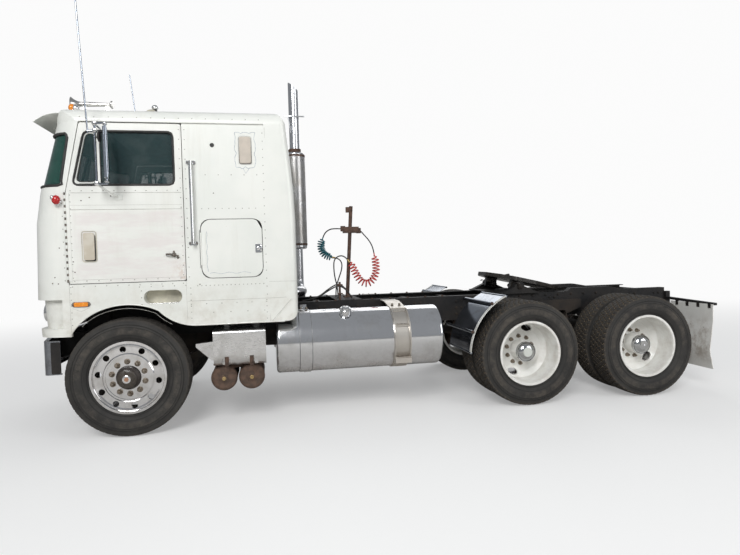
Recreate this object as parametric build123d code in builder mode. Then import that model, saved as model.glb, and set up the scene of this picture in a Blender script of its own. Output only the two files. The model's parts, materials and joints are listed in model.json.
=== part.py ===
"""Cab-over tractor unit with two driven rear axles, modelled in millimetres.

+X points forward, +Y to the left and +Z up.  The origin is on the ground, halfway along the
truck.  Lengths along the truck are counted from the front axle line, which is at x = axle_x.
"""
from build123d import *
import os
from math import cos, radians, sin, tan

os.makedirs("parts", exist_ok=True)

# Overall lengths, counted from the front axle line
front_reach = 765
rear_reach = 5985
axle_x = (rear_reach - front_reach) / 2
first_drive_x = axle_x - 3800
tandem_spacing = 1321
second_drive_x = first_drive_x - tandem_spacing

# Wheels and tyres
tyre_r = 526
hub_z = tyre_r
rim_r = 311
rim_flange_r = 324
steer_tyre_y = 1020
outer_tyre_y = 1076
inner_tyre_y = 742

# Frame
rail_y = 430
rail_top = 1075
rail_depth = 270
rail_flange = 85
rail_wall = 9
rail_front_x = axle_x + 520
rail_rear_x = axle_x - 5930

# Cab shell
wall = 40
door_gap = 6
belt_z = 2165
roof_z = 2757
cab_back = 1506
corner_r = 220
rear_corner_r = 60
floor_z = 1300
floor_t = 34
tunnel_y = 495
tunnel_z = 1735

# Cab tilt pivot, behind the front wall and above the bumper
pivot_x = axle_x + 650
pivot_z = 1045
pivot_pin_r = 14
pivot_hole_r = 16.5

# Steering
kingpin_y = 800
kingpin_r = 18
arm_x = -200
arm_y = -80
tie_rod_z = 400

# Fifth wheel
saddle_x = axle_x - 4040
saddle_z = 1155
saddle_rest_deg = 13
kingpin_jaw_r = 26


def side(y):
    """Sketch plane at y, drawn as x along the truck and z up."""
    return Plane.XZ.offset(-y)


def across(x):
    """Sketch plane at x, drawn as y to the left and z up."""
    return Plane.YZ.offset(x)


def level(z):
    """Sketch plane at z, drawn as x along the truck and y to the left."""
    return Plane.XY.offset(z)


def block(x, y, z, mode=Mode.ADD):
    """Adds a block between three (low, high) pairs to the open part."""
    middle = ((x[0] + x[1]) / 2, (y[0] + y[1]) / 2, (z[0] + z[1]) / 2)
    with Locations(middle):
        Box(x[1] - x[0], y[1] - y[0], z[1] - z[0], mode=mode)


def bar(start, end, radius, mode=Mode.ADD):
    """Adds a round bar between two points to the open part."""
    run = Vector(*end) - Vector(*start)
    with Locations(Plane(origin=start, z_dir=run).location):
        Cylinder(radius, run.length, align=(Align.CENTER, Align.CENTER, Align.MIN), mode=mode)


def wheel_plane(x, y):
    """Plane for a wheel's section: y along the axle, up for the radius, on the axle's line."""
    return Plane(origin=(x, y, hub_z), x_dir=(0, 1, 0), z_dir=(1, 0, 0))


def axle_axis(x):
    """The line that a wheel at x turns about."""
    return Axis((x, 0, hub_z), (0, 1, 0))


# Frame rails: two channels that open inwards
with BuildPart() as frame_rails:
    with BuildSketch(across(rail_rear_x)):
        with BuildLine():
            Polyline(
                (rail_y, rail_top - rail_depth),
                (rail_y, rail_top),
                (rail_y - rail_flange, rail_top),
                (rail_y - rail_flange, rail_top - rail_wall),
                (rail_y - rail_wall, rail_top - rail_wall),
                (rail_y - rail_wall, rail_top - rail_depth + rail_wall),
                (rail_y - rail_flange, rail_top - rail_depth + rail_wall),
                (rail_y - rail_flange, rail_top - rail_depth),
                close=True,
            )
        make_face()
        mirror(about=Plane.YZ)
    extrude(amount=rail_front_x - rail_rear_x)
frame_rails.part.label = "frame_rails"
export_step(frame_rails.part, "parts/frame_rails.step")

# Crossmembers: channel sections between the rail webs, and the hoop that carries the cab's rear
cross_z = (850, 1040)
cross_wall = 10
cross_flange = 70
deck_x = (axle_x - 2240, axle_x - 1960)
deck_t = 6
# Place of each crossmember, counted from the front axle line
cross_places = [455, -1800, -2150, -2850, -3330, -4460, -5500, -5895]
with BuildPart() as crossmembers:
    for place in cross_places:
        x = axle_x + place
        with BuildSketch(side(rail_y - rail_wall)):
            with BuildLine():
                Polyline(
                    (x - cross_flange / 2, cross_z[0]),
                    (x + cross_flange / 2, cross_z[0]),
                    (x + cross_flange / 2, cross_z[0] + cross_wall),
                    (x - cross_flange / 2 + cross_wall, cross_z[0] + cross_wall),
                    (x - cross_flange / 2 + cross_wall, cross_z[1] - cross_wall),
                    (x + cross_flange / 2, cross_z[1] - cross_wall),
                    (x + cross_flange / 2, cross_z[1]),
                    (x - cross_flange / 2, cross_z[1]),
                    close=True,
                )
            make_face()
        extrude(amount=2 * (rail_y - rail_wall))
    with BuildSketch(across(axle_x - 1420)):
        with BuildLine():
            cab_rest = Polyline(
                (-rail_y + 40, rail_top),
                (-rail_y + 40, floor_z - 40),
                (rail_y - 40, floor_z - 40),
                (rail_y - 40, rail_top),
            )
        trace(cab_rest, line_width=60)
    extrude(amount=60)
    block(deck_x, (-rail_y, rail_y), (rail_top, rail_top + deck_t))
crossmembers.part.label = "crossmembers"
export_step(crossmembers.part, "parts/crossmembers.step")

# Front bumper: a bent plate, swept back towards its ends, with short returns
bumper_z = (594, 885)
bumper_t = 6
bumper_lip = 34


def bumper_line(inset):
    """The bumper's plan outline, moved inwards by inset."""
    return FilletPolyline(
        (axle_x + 530, 1170 - inset),
        (axle_x + 660 - inset, 1170 - inset),
        (axle_x + front_reach - inset, 720),
        (axle_x + front_reach - inset, -720),
        (axle_x + 660 - inset, -1170 + inset),
        (axle_x + 530, -1170 + inset),
        radius=45,
    )


with BuildPart() as front_bumper:
    with BuildSketch(level(bumper_z[0])):
        with BuildLine():
            bumper_skin = bumper_line(bumper_t / 2)
        trace(bumper_skin, line_width=bumper_t)
    extrude(amount=bumper_z[1] - bumper_z[0])
    for lip_z in (bumper_z[0], bumper_z[1] - bumper_t):
        with BuildSketch(level(lip_z)):
            with BuildLine():
                bumper_edge = bumper_line(bumper_lip / 2)
            trace(bumper_edge, line_width=bumper_lip)
        extrude(amount=bumper_t)
front_bumper.part.label = "front_bumper"
export_step(front_bumper.part, "parts/front_bumper.step")

# Front axle: a dropped beam with a vertical boss for each kingpin
beam_drop_z = 415
beam_height = 90
boss_r = 44
boss_z = (470, 582)
with BuildPart() as front_axle:
    with BuildSketch(across(axle_x)):
        with BuildLine():
            beam_line = FilletPolyline(
                (-kingpin_y, hub_z),
                (-640, hub_z),
                (-520, beam_drop_z),
                (520, beam_drop_z),
                (640, hub_z),
                (kingpin_y, hub_z),
                radius=60,
            )
        trace(beam_line, line_width=beam_height)
    extrude(amount=42, both=True)
    for sign in (1, -1):
        with Locations((axle_x, sign * kingpin_y, boss_z[0])):
            Cylinder(boss_r, boss_z[1] - boss_z[0], align=(Align.CENTER, Align.CENTER, Align.MIN))
        with Locations((axle_x, sign * kingpin_y, hub_z)):
            Cylinder(kingpin_r + 2, 2 * beam_height, mode=Mode.SUBTRACT)

# Springs: a leaf pack under each rail at the front with its two hangers, and at the rear a
# walking beam under each rail with the saddle that hangs it from the frame
spring_y = (338, 428)
walking_beam_y = (455, 540)
walking_beam_z = 430
tandem_x = (first_drive_x + second_drive_x) / 2
saddle_foot = 120
saddle_window = (45, 120)  # half widths of the saddle's window at its foot and its top
pivot_boss_r = 105
cross_tube_r = 48
arm_clear_r = 68.3
with BuildPart() as springs:
    with BuildSketch(side(spring_y[1])):
        with BuildLine():
            leaf_line = ThreePointArc(
                (axle_x - 700, 690), (axle_x, beam_drop_z + beam_height / 2 + 42), (axle_x + 440, 640)
            )
        trace(leaf_line, line_width=70)
        for x, z in ((axle_x - 700, 690), (axle_x + 440, 640)):
            with Locations((x, z)):
                Circle(40)
            with BuildLine():
                Line((x, z), (x, rail_top - rail_depth))
            trace(line_width=60)
    extrude(amount=spring_y[1] - spring_y[0])
    with BuildSketch(side(walking_beam_y[1])):
        with BuildLine():
            Polyline(
                (second_drive_x - 60, hub_z - 60),
                (second_drive_x + 60, hub_z - 130),
                (tandem_x - 140, walking_beam_z - 110),
                (tandem_x + 140, walking_beam_z - 110),
                (first_drive_x - 60, hub_z - 130),
                (first_drive_x + 60, hub_z - 60),
                (first_drive_x - 60, hub_z - 40),
                (tandem_x + 140, walking_beam_z + 40),
                (tandem_x + saddle_foot, 830),
                (tandem_x + 300, 900),
                (tandem_x + 300, 990),
                (tandem_x - 300, 990),
                (tandem_x - 300, 900),
                (tandem_x - saddle_foot, 830),
                (tandem_x - 140, walking_beam_z + 40),
                (second_drive_x + 60, hub_z - 40),
                close=True,
            )
        make_face()
        with BuildLine():
            FilletPolyline(
                (tandem_x - saddle_window[0], 600),
                (tandem_x - saddle_window[1], 870),
                (tandem_x + saddle_window[1], 870),
                (tandem_x + saddle_window[0], 600),
                radius=30,
                close=True,
            )
        make_face(mode=Mode.SUBTRACT)
    extrude(amount=walking_beam_y[1] - rail_y)
    block(
        (second_drive_x - 400, first_drive_x + 400),
        (0, walking_beam_y[0]),
        (0, rail_top - rail_depth),
        mode=Mode.SUBTRACT,
    )
    for x in (first_drive_x, second_drive_x):
        with Locations(Plane(origin=(x, 300, hub_z), z_dir=(0, 1, 0)).location):
            Cylinder(arm_clear_r, 400, align=(Align.CENTER, Align.CENTER, Align.MIN), mode=Mode.SUBTRACT)
    bar((tandem_x, walking_beam_y[0] - 15, walking_beam_z), (tandem_x, 570, walking_beam_z), pivot_boss_r)
    mirror(about=Plane.XZ)
    bar(
        (tandem_x, -walking_beam_y[0], walking_beam_z),
        (tandem_x, walking_beam_y[0], walking_beam_z),
        cross_tube_r,
    )
springs.part.label = "springs"
export_step(springs.part, "parts/springs.step")

# Drive axles: a round differential housing with tapered arms, and the shafts between them
housing_r = 205
arm_r = 68
spindle_r = 42
pinion_r = 95
shaft_r = 50
drive_line_z = 640
with BuildPart() as axles:
    add(front_axle.part)
    for x in (first_drive_x, second_drive_x):
        with BuildSketch(wheel_plane(x, 0)):
            with BuildLine():
                Polyline(
                    (0, 0),
                    (0, housing_r - 40),
                    (130, 110),
                    (300, arm_r),
                    (600, arm_r),
                    (600, spindle_r),
                    (1000, spindle_r),
                    (1000, 0),
                    close=True,
                )
            make_face()
        revolve(axis=axle_axis(x))
        with Locations(Plane(origin=(x - 95, 0, hub_z), z_dir=(1, 0, 0)).location):
            Cylinder(housing_r, 190, align=(Align.CENTER, Align.CENTER, Align.MIN))
        bar((x, 0, hub_z + 40), (x + 330, 0, drive_line_z), pinion_r)
    mirror(about=Plane.XZ)
    bar((first_drive_x + 330, 0, drive_line_z), (axle_x - 1757, 0, 760), shaft_r)
    bar((second_drive_x + 330, 0, drive_line_z), (first_drive_x - 60, 0, hub_z + 90), shaft_r)
axles.part.label = "axles"
export_step(axles.part, "parts/axles.step")

# Engine block with its gearbox, and the radiator in front of it
with BuildPart() as engine_and_radiator:
    block((axle_x - 950, axle_x + 380), (-325, 325), (640, 1600))
    with BuildSketch(across(axle_x - 950)):
        with Locations((0, 790)):
            RectangleRounded(440, 380, 60)
    extrude(amount=-800)
    block((axle_x + 440, axle_x + 560), (-400, 400), (rail_top + 5, 1690))
engine_and_radiator.part.label = "engine_and_radiator"
export_step(engine_and_radiator.part, "parts/engine_and_radiator.step")

# Fuel tanks: a round tank each side, with two straps, brackets to the rail and a step
tank_r = 302
tank_y = 800
tank_z = 725
tank_x = (axle_x - 2930, axle_x - 1300)
step_x = (axle_x - 2590, axle_x - 2430)
step_rib_t = 12
step_rib_depth = 30
strap_places = ((-1574, 112, 6), (-2510, 150, 10))  # middle, width, thickness of each strap


def around_tank(radius, angle):
    """Point about the left tank, as (y, z), at a radius and an angle in degrees up from straight out."""
    return (tank_y + radius * cos(radians(angle)), tank_z + radius * sin(radians(angle)))


with BuildPart() as fuel_tanks:
    with Locations(Plane(origin=(tank_x[0], tank_y, tank_z), z_dir=(1, 0, 0)).location):
        Cylinder(tank_r, tank_x[1] - tank_x[0], align=(Align.CENTER, Align.CENTER, Align.MIN))
    fillet(fuel_tanks.edges().filter_by(GeomType.CIRCLE), 28)
    for middle, width, thickness in strap_places:
        x = axle_x + middle - width / 2
        with Locations(Plane(origin=(x, tank_y, tank_z), z_dir=(1, 0, 0)).location):
            Cylinder(tank_r + thickness, width, align=(Align.CENTER, Align.CENTER, Align.MIN))
        with BuildSketch(across(x)):
            with BuildLine():
                Polyline(
                    (rail_y, rail_top - 20),
                    (rail_y + 55, rail_top - 20),
                    (rail_y + 75, 570),
                    (tank_y - 150, tank_z - tank_r + 32),
                    (tank_y, tank_z - tank_r + 5),
                    (tank_y, tank_z - tank_r - 18),
                    (tank_y - 180, tank_z - tank_r - 10),
                    (rail_y, 550),
                    close=True,
                )
            make_face()
        extrude(amount=width * 0.6)
    with Locations(Plane(origin=(axle_x - 1972, tank_y + 140, tank_z + 230), z_dir=(0, 0.45, 1)).location):
        Cylinder(52, 90, align=(Align.CENTER, Align.CENTER, Align.MIN))
    for x in (step_x[0], step_x[1] - step_rib_t):
        with BuildSketch(across(x)):
            with BuildLine():
                step_rib = ThreePointArc(
                    around_tank(tank_r + step_rib_depth / 2, 62),
                    around_tank(tank_r + step_rib_depth / 2, 10),
                    around_tank(tank_r + step_rib_depth / 2, -42),
                )
            trace(step_rib, line_width=step_rib_depth)
        extrude(amount=step_rib_t)
    for angle, height, depth in ((62, 16, 30), (30, 26, 34), (-34, 60, 62)):
        y, z = around_tank(tank_r, angle)
        block(step_x, (y - 30, y + depth), (z - height, z))
    with BuildSketch(across(step_x[0])):
        with BuildLine():
            top_tread = FilletPolyline(
                (rail_y + 5, rail_top - 12), (640, 1062), around_tank(tank_r + 12, 66), radius=150
            )
        trace(top_tread, line_width=10)
    extrude(amount=step_x[1] - step_x[0])
    mirror(about=Plane.XZ)
fuel_tanks.part.label = "fuel_tanks"
export_step(fuel_tanks.part, "parts/fuel_tanks.step")

# Battery boxes: a rounded sheet box each side that is also the step, hung from the rail, with a
# gusset at its front
box_x = (axle_x - 1200, axle_x - 730)
box_y = (600, 1150)
box_z = (570, 905)
gusset_y = (1010, 1018)
with BuildPart() as battery_boxes:
    with BuildSketch(across(box_x[0])):
        with BuildLine():
            FilletPolyline(
                (box_y[0], box_z[0]),
                (box_y[1], box_z[0]),
                (box_y[1], box_z[1]),
                (box_y[0], box_z[1]),
                radius=[30, 110, 30, 30],
                close=True,
            )
        make_face()
    extrude(amount=box_x[1] - box_x[0])
    for x in (box_x[0] + 90, box_x[1] - 90):
        block((x - 16, x + 16), (box_y[1] - 60, box_y[1] + 10), (box_z[0] - 5, box_z[0] + 75), Mode.SUBTRACT)
        block((x - 25, x + 25), (rail_y, box_y[0] + 5), (box_z[0] + 40, rail_top - 80))
    with BuildSketch(side(gusset_y[1])):
        with BuildLine():
            Polyline(
                (box_x[1], 790),
                (axle_x - 566, 775),
                (axle_x - 566, 745),
                (axle_x - 700, 618),
                (box_x[1], 612),
                close=True,
            )
        make_face()
    extrude(amount=gusset_y[1] - gusset_y[0])
    mirror(about=Plane.XZ)
battery_boxes.part.label = "battery_boxes"
export_step(battery_boxes.part, "parts/battery_boxes.step")

# Air tanks: two cylinders across the truck under the left battery box, on two hanger straps
air_tank_r = 118
air_tank_z = 448
air_tank_y = (560, 1060)
with BuildPart() as air_tanks:
    for place in (-1062, -811):
        with Locations(Plane(origin=(axle_x + place, air_tank_y[0], air_tank_z), z_dir=(0, 1, 0)).location):
            Cylinder(air_tank_r, air_tank_y[1] - air_tank_y[0], align=(Align.CENTER, Align.CENTER, Align.MIN))
    fillet(air_tanks.edges().filter_by(GeomType.CIRCLE), 40)
    for y in (660, 960):
        block((axle_x - 1110, axle_x - 763), (y - 20, y + 20), (box_z[0] - 40, box_z[0]))
air_tanks.part.label = "air_tanks"
export_step(air_tanks.part, "parts/air_tanks.step")

# Exhaust: an upright silencer on the right behind the cab, with the tail pipe above it cut at
# a slant and the pipe below that turns towards the engine
stack_x = axle_x - 1645
stack_y = -850
stack_r = 63.5
lower_pipe_r = 60
stack_top = 3770
silencer_r = 118
silencer_z = (1660, 2880)
with BuildPart() as exhaust:
    with Locations((stack_x, stack_y, silencer_z[0])):
        Cylinder(silencer_r, silencer_z[1] - silencer_z[0], align=(Align.CENTER, Align.CENTER, Align.MIN))
    fillet(exhaust.edges().filter_by(GeomType.CIRCLE), 25)
    with Locations((stack_x, stack_y, silencer_z[1] - 20)):
        Cylinder(stack_r, stack_top - silencer_z[1] + 20, align=(Align.CENTER, Align.CENTER, Align.MIN))
        Cylinder(stack_r + 7, 70, align=(Align.CENTER, Align.CENTER, Align.MIN))
    with BuildSketch(side(stack_y + 200)):
        with BuildLine():
            Polyline(
                (stack_x - 80, stack_top - 132),
                (stack_x + 80, stack_top + 5),
                (stack_x + 80, stack_top + 90),
                (stack_x - 80, stack_top + 90),
                close=True,
            )
        make_face()
    extrude(amount=400, mode=Mode.SUBTRACT)
    with Locations((stack_x, stack_y, stack_top - 400)):
        Cylinder(stack_r - 3, 500, align=(Align.CENTER, Align.CENTER, Align.MIN), mode=Mode.SUBTRACT)
    with BuildLine():
        lower_pipe = FilletPolyline(
            (stack_x, stack_y, silencer_z[0] + 10),
            (stack_x, stack_y, 1148),
            (stack_x, -240, 1148),
            (axle_x - 950, -240, 1148),
            radius=130,
        )
    with BuildSketch(Plane(origin=lower_pipe @ 0, z_dir=lower_pipe % 0)):
        Circle(lower_pipe_r)
    sweep(path=lower_pipe)
    block((stack_x - 40, stack_x + 40), (-rail_y, -rail_y + 80), (rail_top, 1120))
exhaust.part.label = "exhaust"
export_step(exhaust.part, "parts/exhaust.step")

# Air line pole: a leaning pole on a crossmember, with the bracket for the hose ends at its top
pole_foot = (axle_x - 2140, 0, 1083)
pole_top = (axle_x - 2210, 0, 2120)
pole_r = 21
blue_end = (axle_x - 2110, 1865)
red_end = (axle_x - 2290, 1840)
with BuildPart() as air_line_pole:
    bar(pole_foot, pole_top, pole_r)
    block((axle_x - 2190, axle_x - 2100), (-60, 60), (rail_top + deck_t, rail_top + deck_t + 12))
    block((axle_x - 2290, axle_x - 2110), (-30, 30), (1815, 1885))
    block((axle_x - 2205, axle_x - 2150), (-22, 22), (2050, 2110))
    for x, z in (blue_end, red_end):
        with Locations((x, 0, z)):
            Cylinder(28, 60)
air_line_pole.part.label = "air_line_pole"
export_step(air_line_pole.part, "parts/air_line_pole.step")

# Air hoses: each runs up from the deck, through a curly stretch, to its end on the pole
hose_d = 14
coil_d = 90
deck_top = rail_top + deck_t
# Routes as (x from the front axle, y, z)
red_foot_route = (
    (-2020, 90, deck_top), (-2020, 90, 1190), (-1990, 90, 1310), (-1980, 90, 1420), (-1986, 90, 1514),
    (-2042, 90, 1559), (-2114, 90, 1549), (-2155, 90, 1490),
)
red_coil_route = (
    (-2155, 90, 1490), (-2201, 90, 1424), (-2240, 90, 1325), (-2300, 90, 1242), (-2384, 90, 1228),
    (-2452, 90, 1305), (-2476, 90, 1415), (-2450, 90, 1560),
)
red_head_route = (
    (-2450, 90, 1560), (-2435, 90, 1645), (-2398, 72, 1725), (-2345, 40, 1790),
    (red_end[0] - axle_x - 27, 8, 1832),
)
blue_head_route = (
    (blue_end[0] - axle_x + 27, -4, 1865), (-2022, -24, 1870), (-1962, -50, 1864), (-1910, -74, 1826),
    (-1884, -88, 1762),
)
blue_coil_route = (
    (-1884, -88, 1762), (-1860, -101, 1703), (-1868, -100, 1618), (-1920, -97, 1552), (-1995, -93, 1540),
)
blue_foot_route = (
    (-1995, -93, 1540), (-2062, -90, 1529), (-2102, -90, 1474), (-2096, -90, 1395), (-2060, -90, 1300),
    (-2020, -90, 1190), (-2020, -90, deck_top),
)


def cord_path(route):
    """Straight runs joined by the largest tangent arcs that their lengths allow."""
    points = [Vector(axle_x + x, y, z) for x, y, z in route]
    radii = []
    for before, corner, after in zip(points, points[1:], points[2:]):
        turn = (corner - before).get_angle(after - corner)
        run = min((corner - before).length, (after - corner).length)
        radii.append(0.45 * run / tan(radians(turn / 2)))
    with BuildLine() as path:
        FilletPolyline(*points, radius=radii)
    return path.line


for name, diameter, routes in (
    ("red_hose", hose_d, (red_foot_route, red_head_route)),
    ("red_coil", coil_d, (red_coil_route,)),
    ("blue_hose", hose_d, (blue_foot_route, blue_head_route)),
    ("blue_coil", coil_d, (blue_coil_route,)),
):
    with BuildPart() as hose:
        for route in routes:
            path = cord_path(route)
            with BuildSketch(Plane(origin=path @ 0, z_dir=path % 0)):
                Circle(diameter / 2)
            sweep(path=path)
    hose.part.label = name
    export_step(hose.part, f"parts/{name}.step")

# Quarter fenders: a curved sheet in front of each first drive wheel, on two tubes from the rail
fender_r = 640
fender_t = 4
fender_y = (600, 1215)
fender_arc = (4, 66)


def around_wheel(x, radius, angle):
    """Point at a radius and an angle in degrees, from straight ahead upwards, about a wheel."""
    return (x + radius * cos(radians(angle)), hub_z + radius * sin(radians(angle)))


with BuildPart() as quarter_fenders:
    with BuildSketch(side(fender_y[1])):
        with BuildLine():
            fender_line = ThreePointArc(
                around_wheel(first_drive_x, fender_r, fender_arc[0]),
                around_wheel(first_drive_x, fender_r, sum(fender_arc) / 2),
                around_wheel(first_drive_x, fender_r, fender_arc[1]),
            )
        trace(fender_line, line_width=fender_t)
        for angle in fender_arc:
            with Locations(around_wheel(first_drive_x, fender_r, angle)):
                Circle(11)
    extrude(amount=fender_y[1] - fender_y[0])
    for angle in (22, 52):
        x, z = around_wheel(first_drive_x, fender_r + 17, angle)
        bar((x, rail_y, z), (x, fender_y[1] - 20, z), 17)
    mirror(about=Plane.XZ)
quarter_fenders.part.label = "quarter_fenders"
export_step(quarter_fenders.part, "parts/quarter_fenders.step")

# Mud flaps: a flat sheet hung across behind each rear wheel, with a curl at its foot
flap_x = axle_x - 5970
flap_y = (545, 1175)
flap_z = (225, 925)
flap_t = 8
flap_hang_x = rail_rear_x + flap_t / 2
with BuildPart() as mudflaps:
    with BuildSketch(side(flap_y[1])):
        with BuildLine():
            flap_line = FilletPolyline(
                (flap_hang_x, flap_z[1]),
                (flap_hang_x, 740),
                (flap_hang_x + 44, 430),
                (flap_hang_x, flap_z[0]),
                radius=280,
            )
        trace(flap_line, line_width=flap_t)
    extrude(amount=flap_y[1] - flap_y[0])
    mirror(about=Plane.XZ)
mudflaps.part.label = "mudflaps"
export_step(mudflaps.part, "parts/mudflaps.step")

# Frame brackets: one plate at the front of each rail, with an ear for the cab pivot and an arm
# to the bumper, and at the back the bar that each mud flap hangs on
bracket_y = (rail_y, rail_y + 20)
flap_face_x = rail_rear_x + flap_t
clip_t = 6
with BuildPart() as frame_brackets:
    with BuildSketch(side(bracket_y[1])):
        with BuildLine():
            Polyline(
                (axle_x + 300, 1070),
                (pivot_x, pivot_z + 32),
                (pivot_x, pivot_z - 32),
                (axle_x + 520, 985),
                (axle_x + 470, 880),
                (axle_x + front_reach - bumper_t, 865),
                (axle_x + front_reach - bumper_t, 640),
                (axle_x + 420, 700),
                (axle_x + 300, 815),
                close=True,
            )
        make_face()
        with Locations((pivot_x, pivot_z)):
            Circle(32)
            Circle(pivot_hole_r, mode=Mode.SUBTRACT)
    extrude(amount=bracket_y[1] - bracket_y[0])
    with BuildSketch(across(flap_x - 15)):
        with BuildLine():
            hanger_line = Polyline((rail_y - 5, 950), (1165, 925))
        trace(hanger_line, line_width=26)
        with Locations((rail_y + 5, 950)):
            Rectangle(50, 160)
    extrude(amount=rail_rear_x - flap_x + 15)
    for y in (650, 810, 970, 1130):
        block((flap_face_x, flap_face_x + clip_t), (y - 18, y + 18), (flap_z[1] - 42, flap_z[1] + 14))
        block((flap_face_x - 14, flap_face_x + clip_t), (y - 18, y + 18), (flap_z[1], flap_z[1] + 14))
    mirror(about=Plane.XZ)
frame_brackets.part.label = "frame_brackets"
export_step(frame_brackets.part, "parts/frame_brackets.step")

# Tail lamps: two round lamps each side on a plate that hangs from the last crossmember
tail_z = (715, 900)
with BuildPart() as tail_lamps:
    block((rail_rear_x - 6, rail_rear_x), (-320, 320), tail_z)
    for y in (-245, -115, 115, 245):
        bar((rail_rear_x - 6, y, tail_z[0] + 62), (rail_rear_x - 30, y, tail_z[0] + 62), 52)
tail_lamps.part.label = "tail_lamps"
export_step(tail_lamps.part, "parts/tail_lamps.step")

# Fifth wheel base: a stand on each rail joined by a plate, with sloping ramps behind it
stand_y = (395, 480)
with BuildPart() as fifth_wheel_base:
    with BuildSketch(side(stand_y[1])):
        with BuildLine():
            Polyline(
                (saddle_x - 240, rail_top),
                (saddle_x + 240, rail_top),
                (saddle_x + 60, saddle_z),
                (saddle_x - 60, saddle_z),
                close=True,
            )
        make_face()
        with Locations((saddle_x, saddle_z)):
            Circle(55)
            Circle(26, mode=Mode.SUBTRACT)
    extrude(amount=stand_y[1] - stand_y[0])
    with BuildSketch(side(rail_y)):
        with BuildLine():
            Polyline(
                (axle_x - 4660, rail_top),
                (axle_x - 4700, rail_top + 36),
                (axle_x - 5210, rail_top + 36),
                (axle_x - 5380, rail_top + 4),
                (axle_x - 5380, rail_top),
                close=True,
            )
        make_face()
    extrude(amount=rail_flange)
    mirror(about=Plane.XZ)
    block((saddle_x - 240, saddle_x + 240), (-stand_y[1], stand_y[1]), (rail_top, rail_top + 12))
fifth_wheel_base.part.label = "fifth_wheel_base"
export_step(fifth_wheel_base.part, "parts/fifth_wheel_base.step")

# Fifth wheel plate: level in this section, then turned to its rest on the pivot line
plate_front = 280
plate_back = 560
plate_y = 460
plate_t = 42
plate_lift = 62
with BuildPart() as fifth_wheel_plate:
    with BuildSketch(level(saddle_z + plate_lift)):
        with BuildLine():
            FilletPolyline(
                (saddle_x + plate_front, 120),
                (saddle_x + 190, 330),
                (saddle_x + 40, plate_y),
                (saddle_x - 210, plate_y),
                (saddle_x - plate_back, 330),
                (saddle_x - plate_back, 190),
                (saddle_x - 120, kingpin_jaw_r),
                (saddle_x - 120, -kingpin_jaw_r),
                (saddle_x - plate_back, -190),
                (saddle_x - plate_back, -330),
                (saddle_x - 210, -plate_y),
                (saddle_x + 40, -plate_y),
                (saddle_x + 190, -330),
                (saddle_x + plate_front, -120),
                radius=[60, 60, 60, 60, 40, 10, 0.5, 0.5, 10, 40, 60, 60, 60, 60],
                close=True,
            )
        make_face()
    extrude(amount=plate_t)
    with BuildSketch(level(saddle_z + plate_lift)):
        with Locations((saddle_x - 90, 0)):
            SlotCenterPoint((0, 0), (-60, 0), 2 * kingpin_jaw_r)
    extrude(amount=plate_t, mode=Mode.SUBTRACT)
    for sign in (1, -1):
        with Locations(Plane(origin=(saddle_x, sign * 345, saddle_z), z_dir=(0, 1, 0)).location):
            Cylinder(24, 290)
        block(
            (saddle_x - 70, saddle_x + 70),
            (min(sign * 330, sign * 385), max(sign * 330, sign * 385)),
            (saddle_z - 40, saddle_z + plate_lift),
        )
fifth_wheel_plate = fifth_wheel_plate.part.rotate(Axis((saddle_x, 0, saddle_z), (0, 1, 0)), -saddle_rest_deg)
fifth_wheel_plate.label = "fifth_wheel_plate"
export_step(fifth_wheel_plate, "parts/fifth_wheel_plate.step")

# Knuckles: a fork around the axle boss, the kingpin, the wheel spindle and the steering arm
ear_t = 40
ear_gap = 6
front_spindle_y = 1095
front_spindle_r = 40
with BuildPart() as left_knuckle:
    for low in (boss_z[0] - ear_gap - ear_t, boss_z[1] + ear_gap):
        with Locations((axle_x, kingpin_y, low)):
            Cylinder(46, ear_t, align=(Align.CENTER, Align.CENTER, Align.MIN))
        block((axle_x - 40, axle_x + 40), (kingpin_y, kingpin_y + 92), (low, low + ear_t))
    block(
        (axle_x - 40, axle_x + 40),
        (kingpin_y + 52, kingpin_y + 92),
        (boss_z[0] - ear_gap - ear_t, boss_z[1] + ear_gap + ear_t),
    )
    with Locations((axle_x, kingpin_y, boss_z[0] - 40)):
        Cylinder(kingpin_r, boss_z[1] - boss_z[0] + 80, align=(Align.CENTER, Align.CENTER, Align.MIN))
    bar((axle_x, kingpin_y + 90, hub_z), (axle_x, front_spindle_y, hub_z), front_spindle_r)
    bar(
        (axle_x - 20, kingpin_y, boss_z[0] - ear_gap - 20),
        (axle_x + arm_x, kingpin_y + arm_y, boss_z[0] - ear_gap - 20),
        17,
    )
    with Locations((axle_x + arm_x, kingpin_y + arm_y, boss_z[0] - ear_gap - 40)):
        Cylinder(26, 40, align=(Align.CENTER, Align.CENTER, Align.MIN))
left_knuckle.part.label = "left_knuckle"
export_step(left_knuckle.part, "parts/left_knuckle.step")

with BuildPart() as right_knuckle:
    mirror(left_knuckle.part, about=Plane.XZ)
right_knuckle.part.label = "right_knuckle"
export_step(right_knuckle.part, "parts/right_knuckle.step")

# Tie rod: runs between the two steering arms, a hand's breadth behind the axle
tie_end_y = kingpin_y + arm_y
with BuildPart() as tie_rod:
    bar((axle_x + arm_x, -tie_end_y, tie_rod_z - 15), (axle_x + arm_x, tie_end_y, tie_rod_z - 15), 18)
    for sign in (1, -1):
        with Locations((axle_x + arm_x, sign * tie_end_y, tie_rod_z - 40)):
            Cylinder(28, 58, align=(Align.CENTER, Align.CENTER, Align.MIN))
tie_rod.part.label = "tie_rod"
export_step(tie_rod.part, "parts/tie_rod.step")


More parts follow.
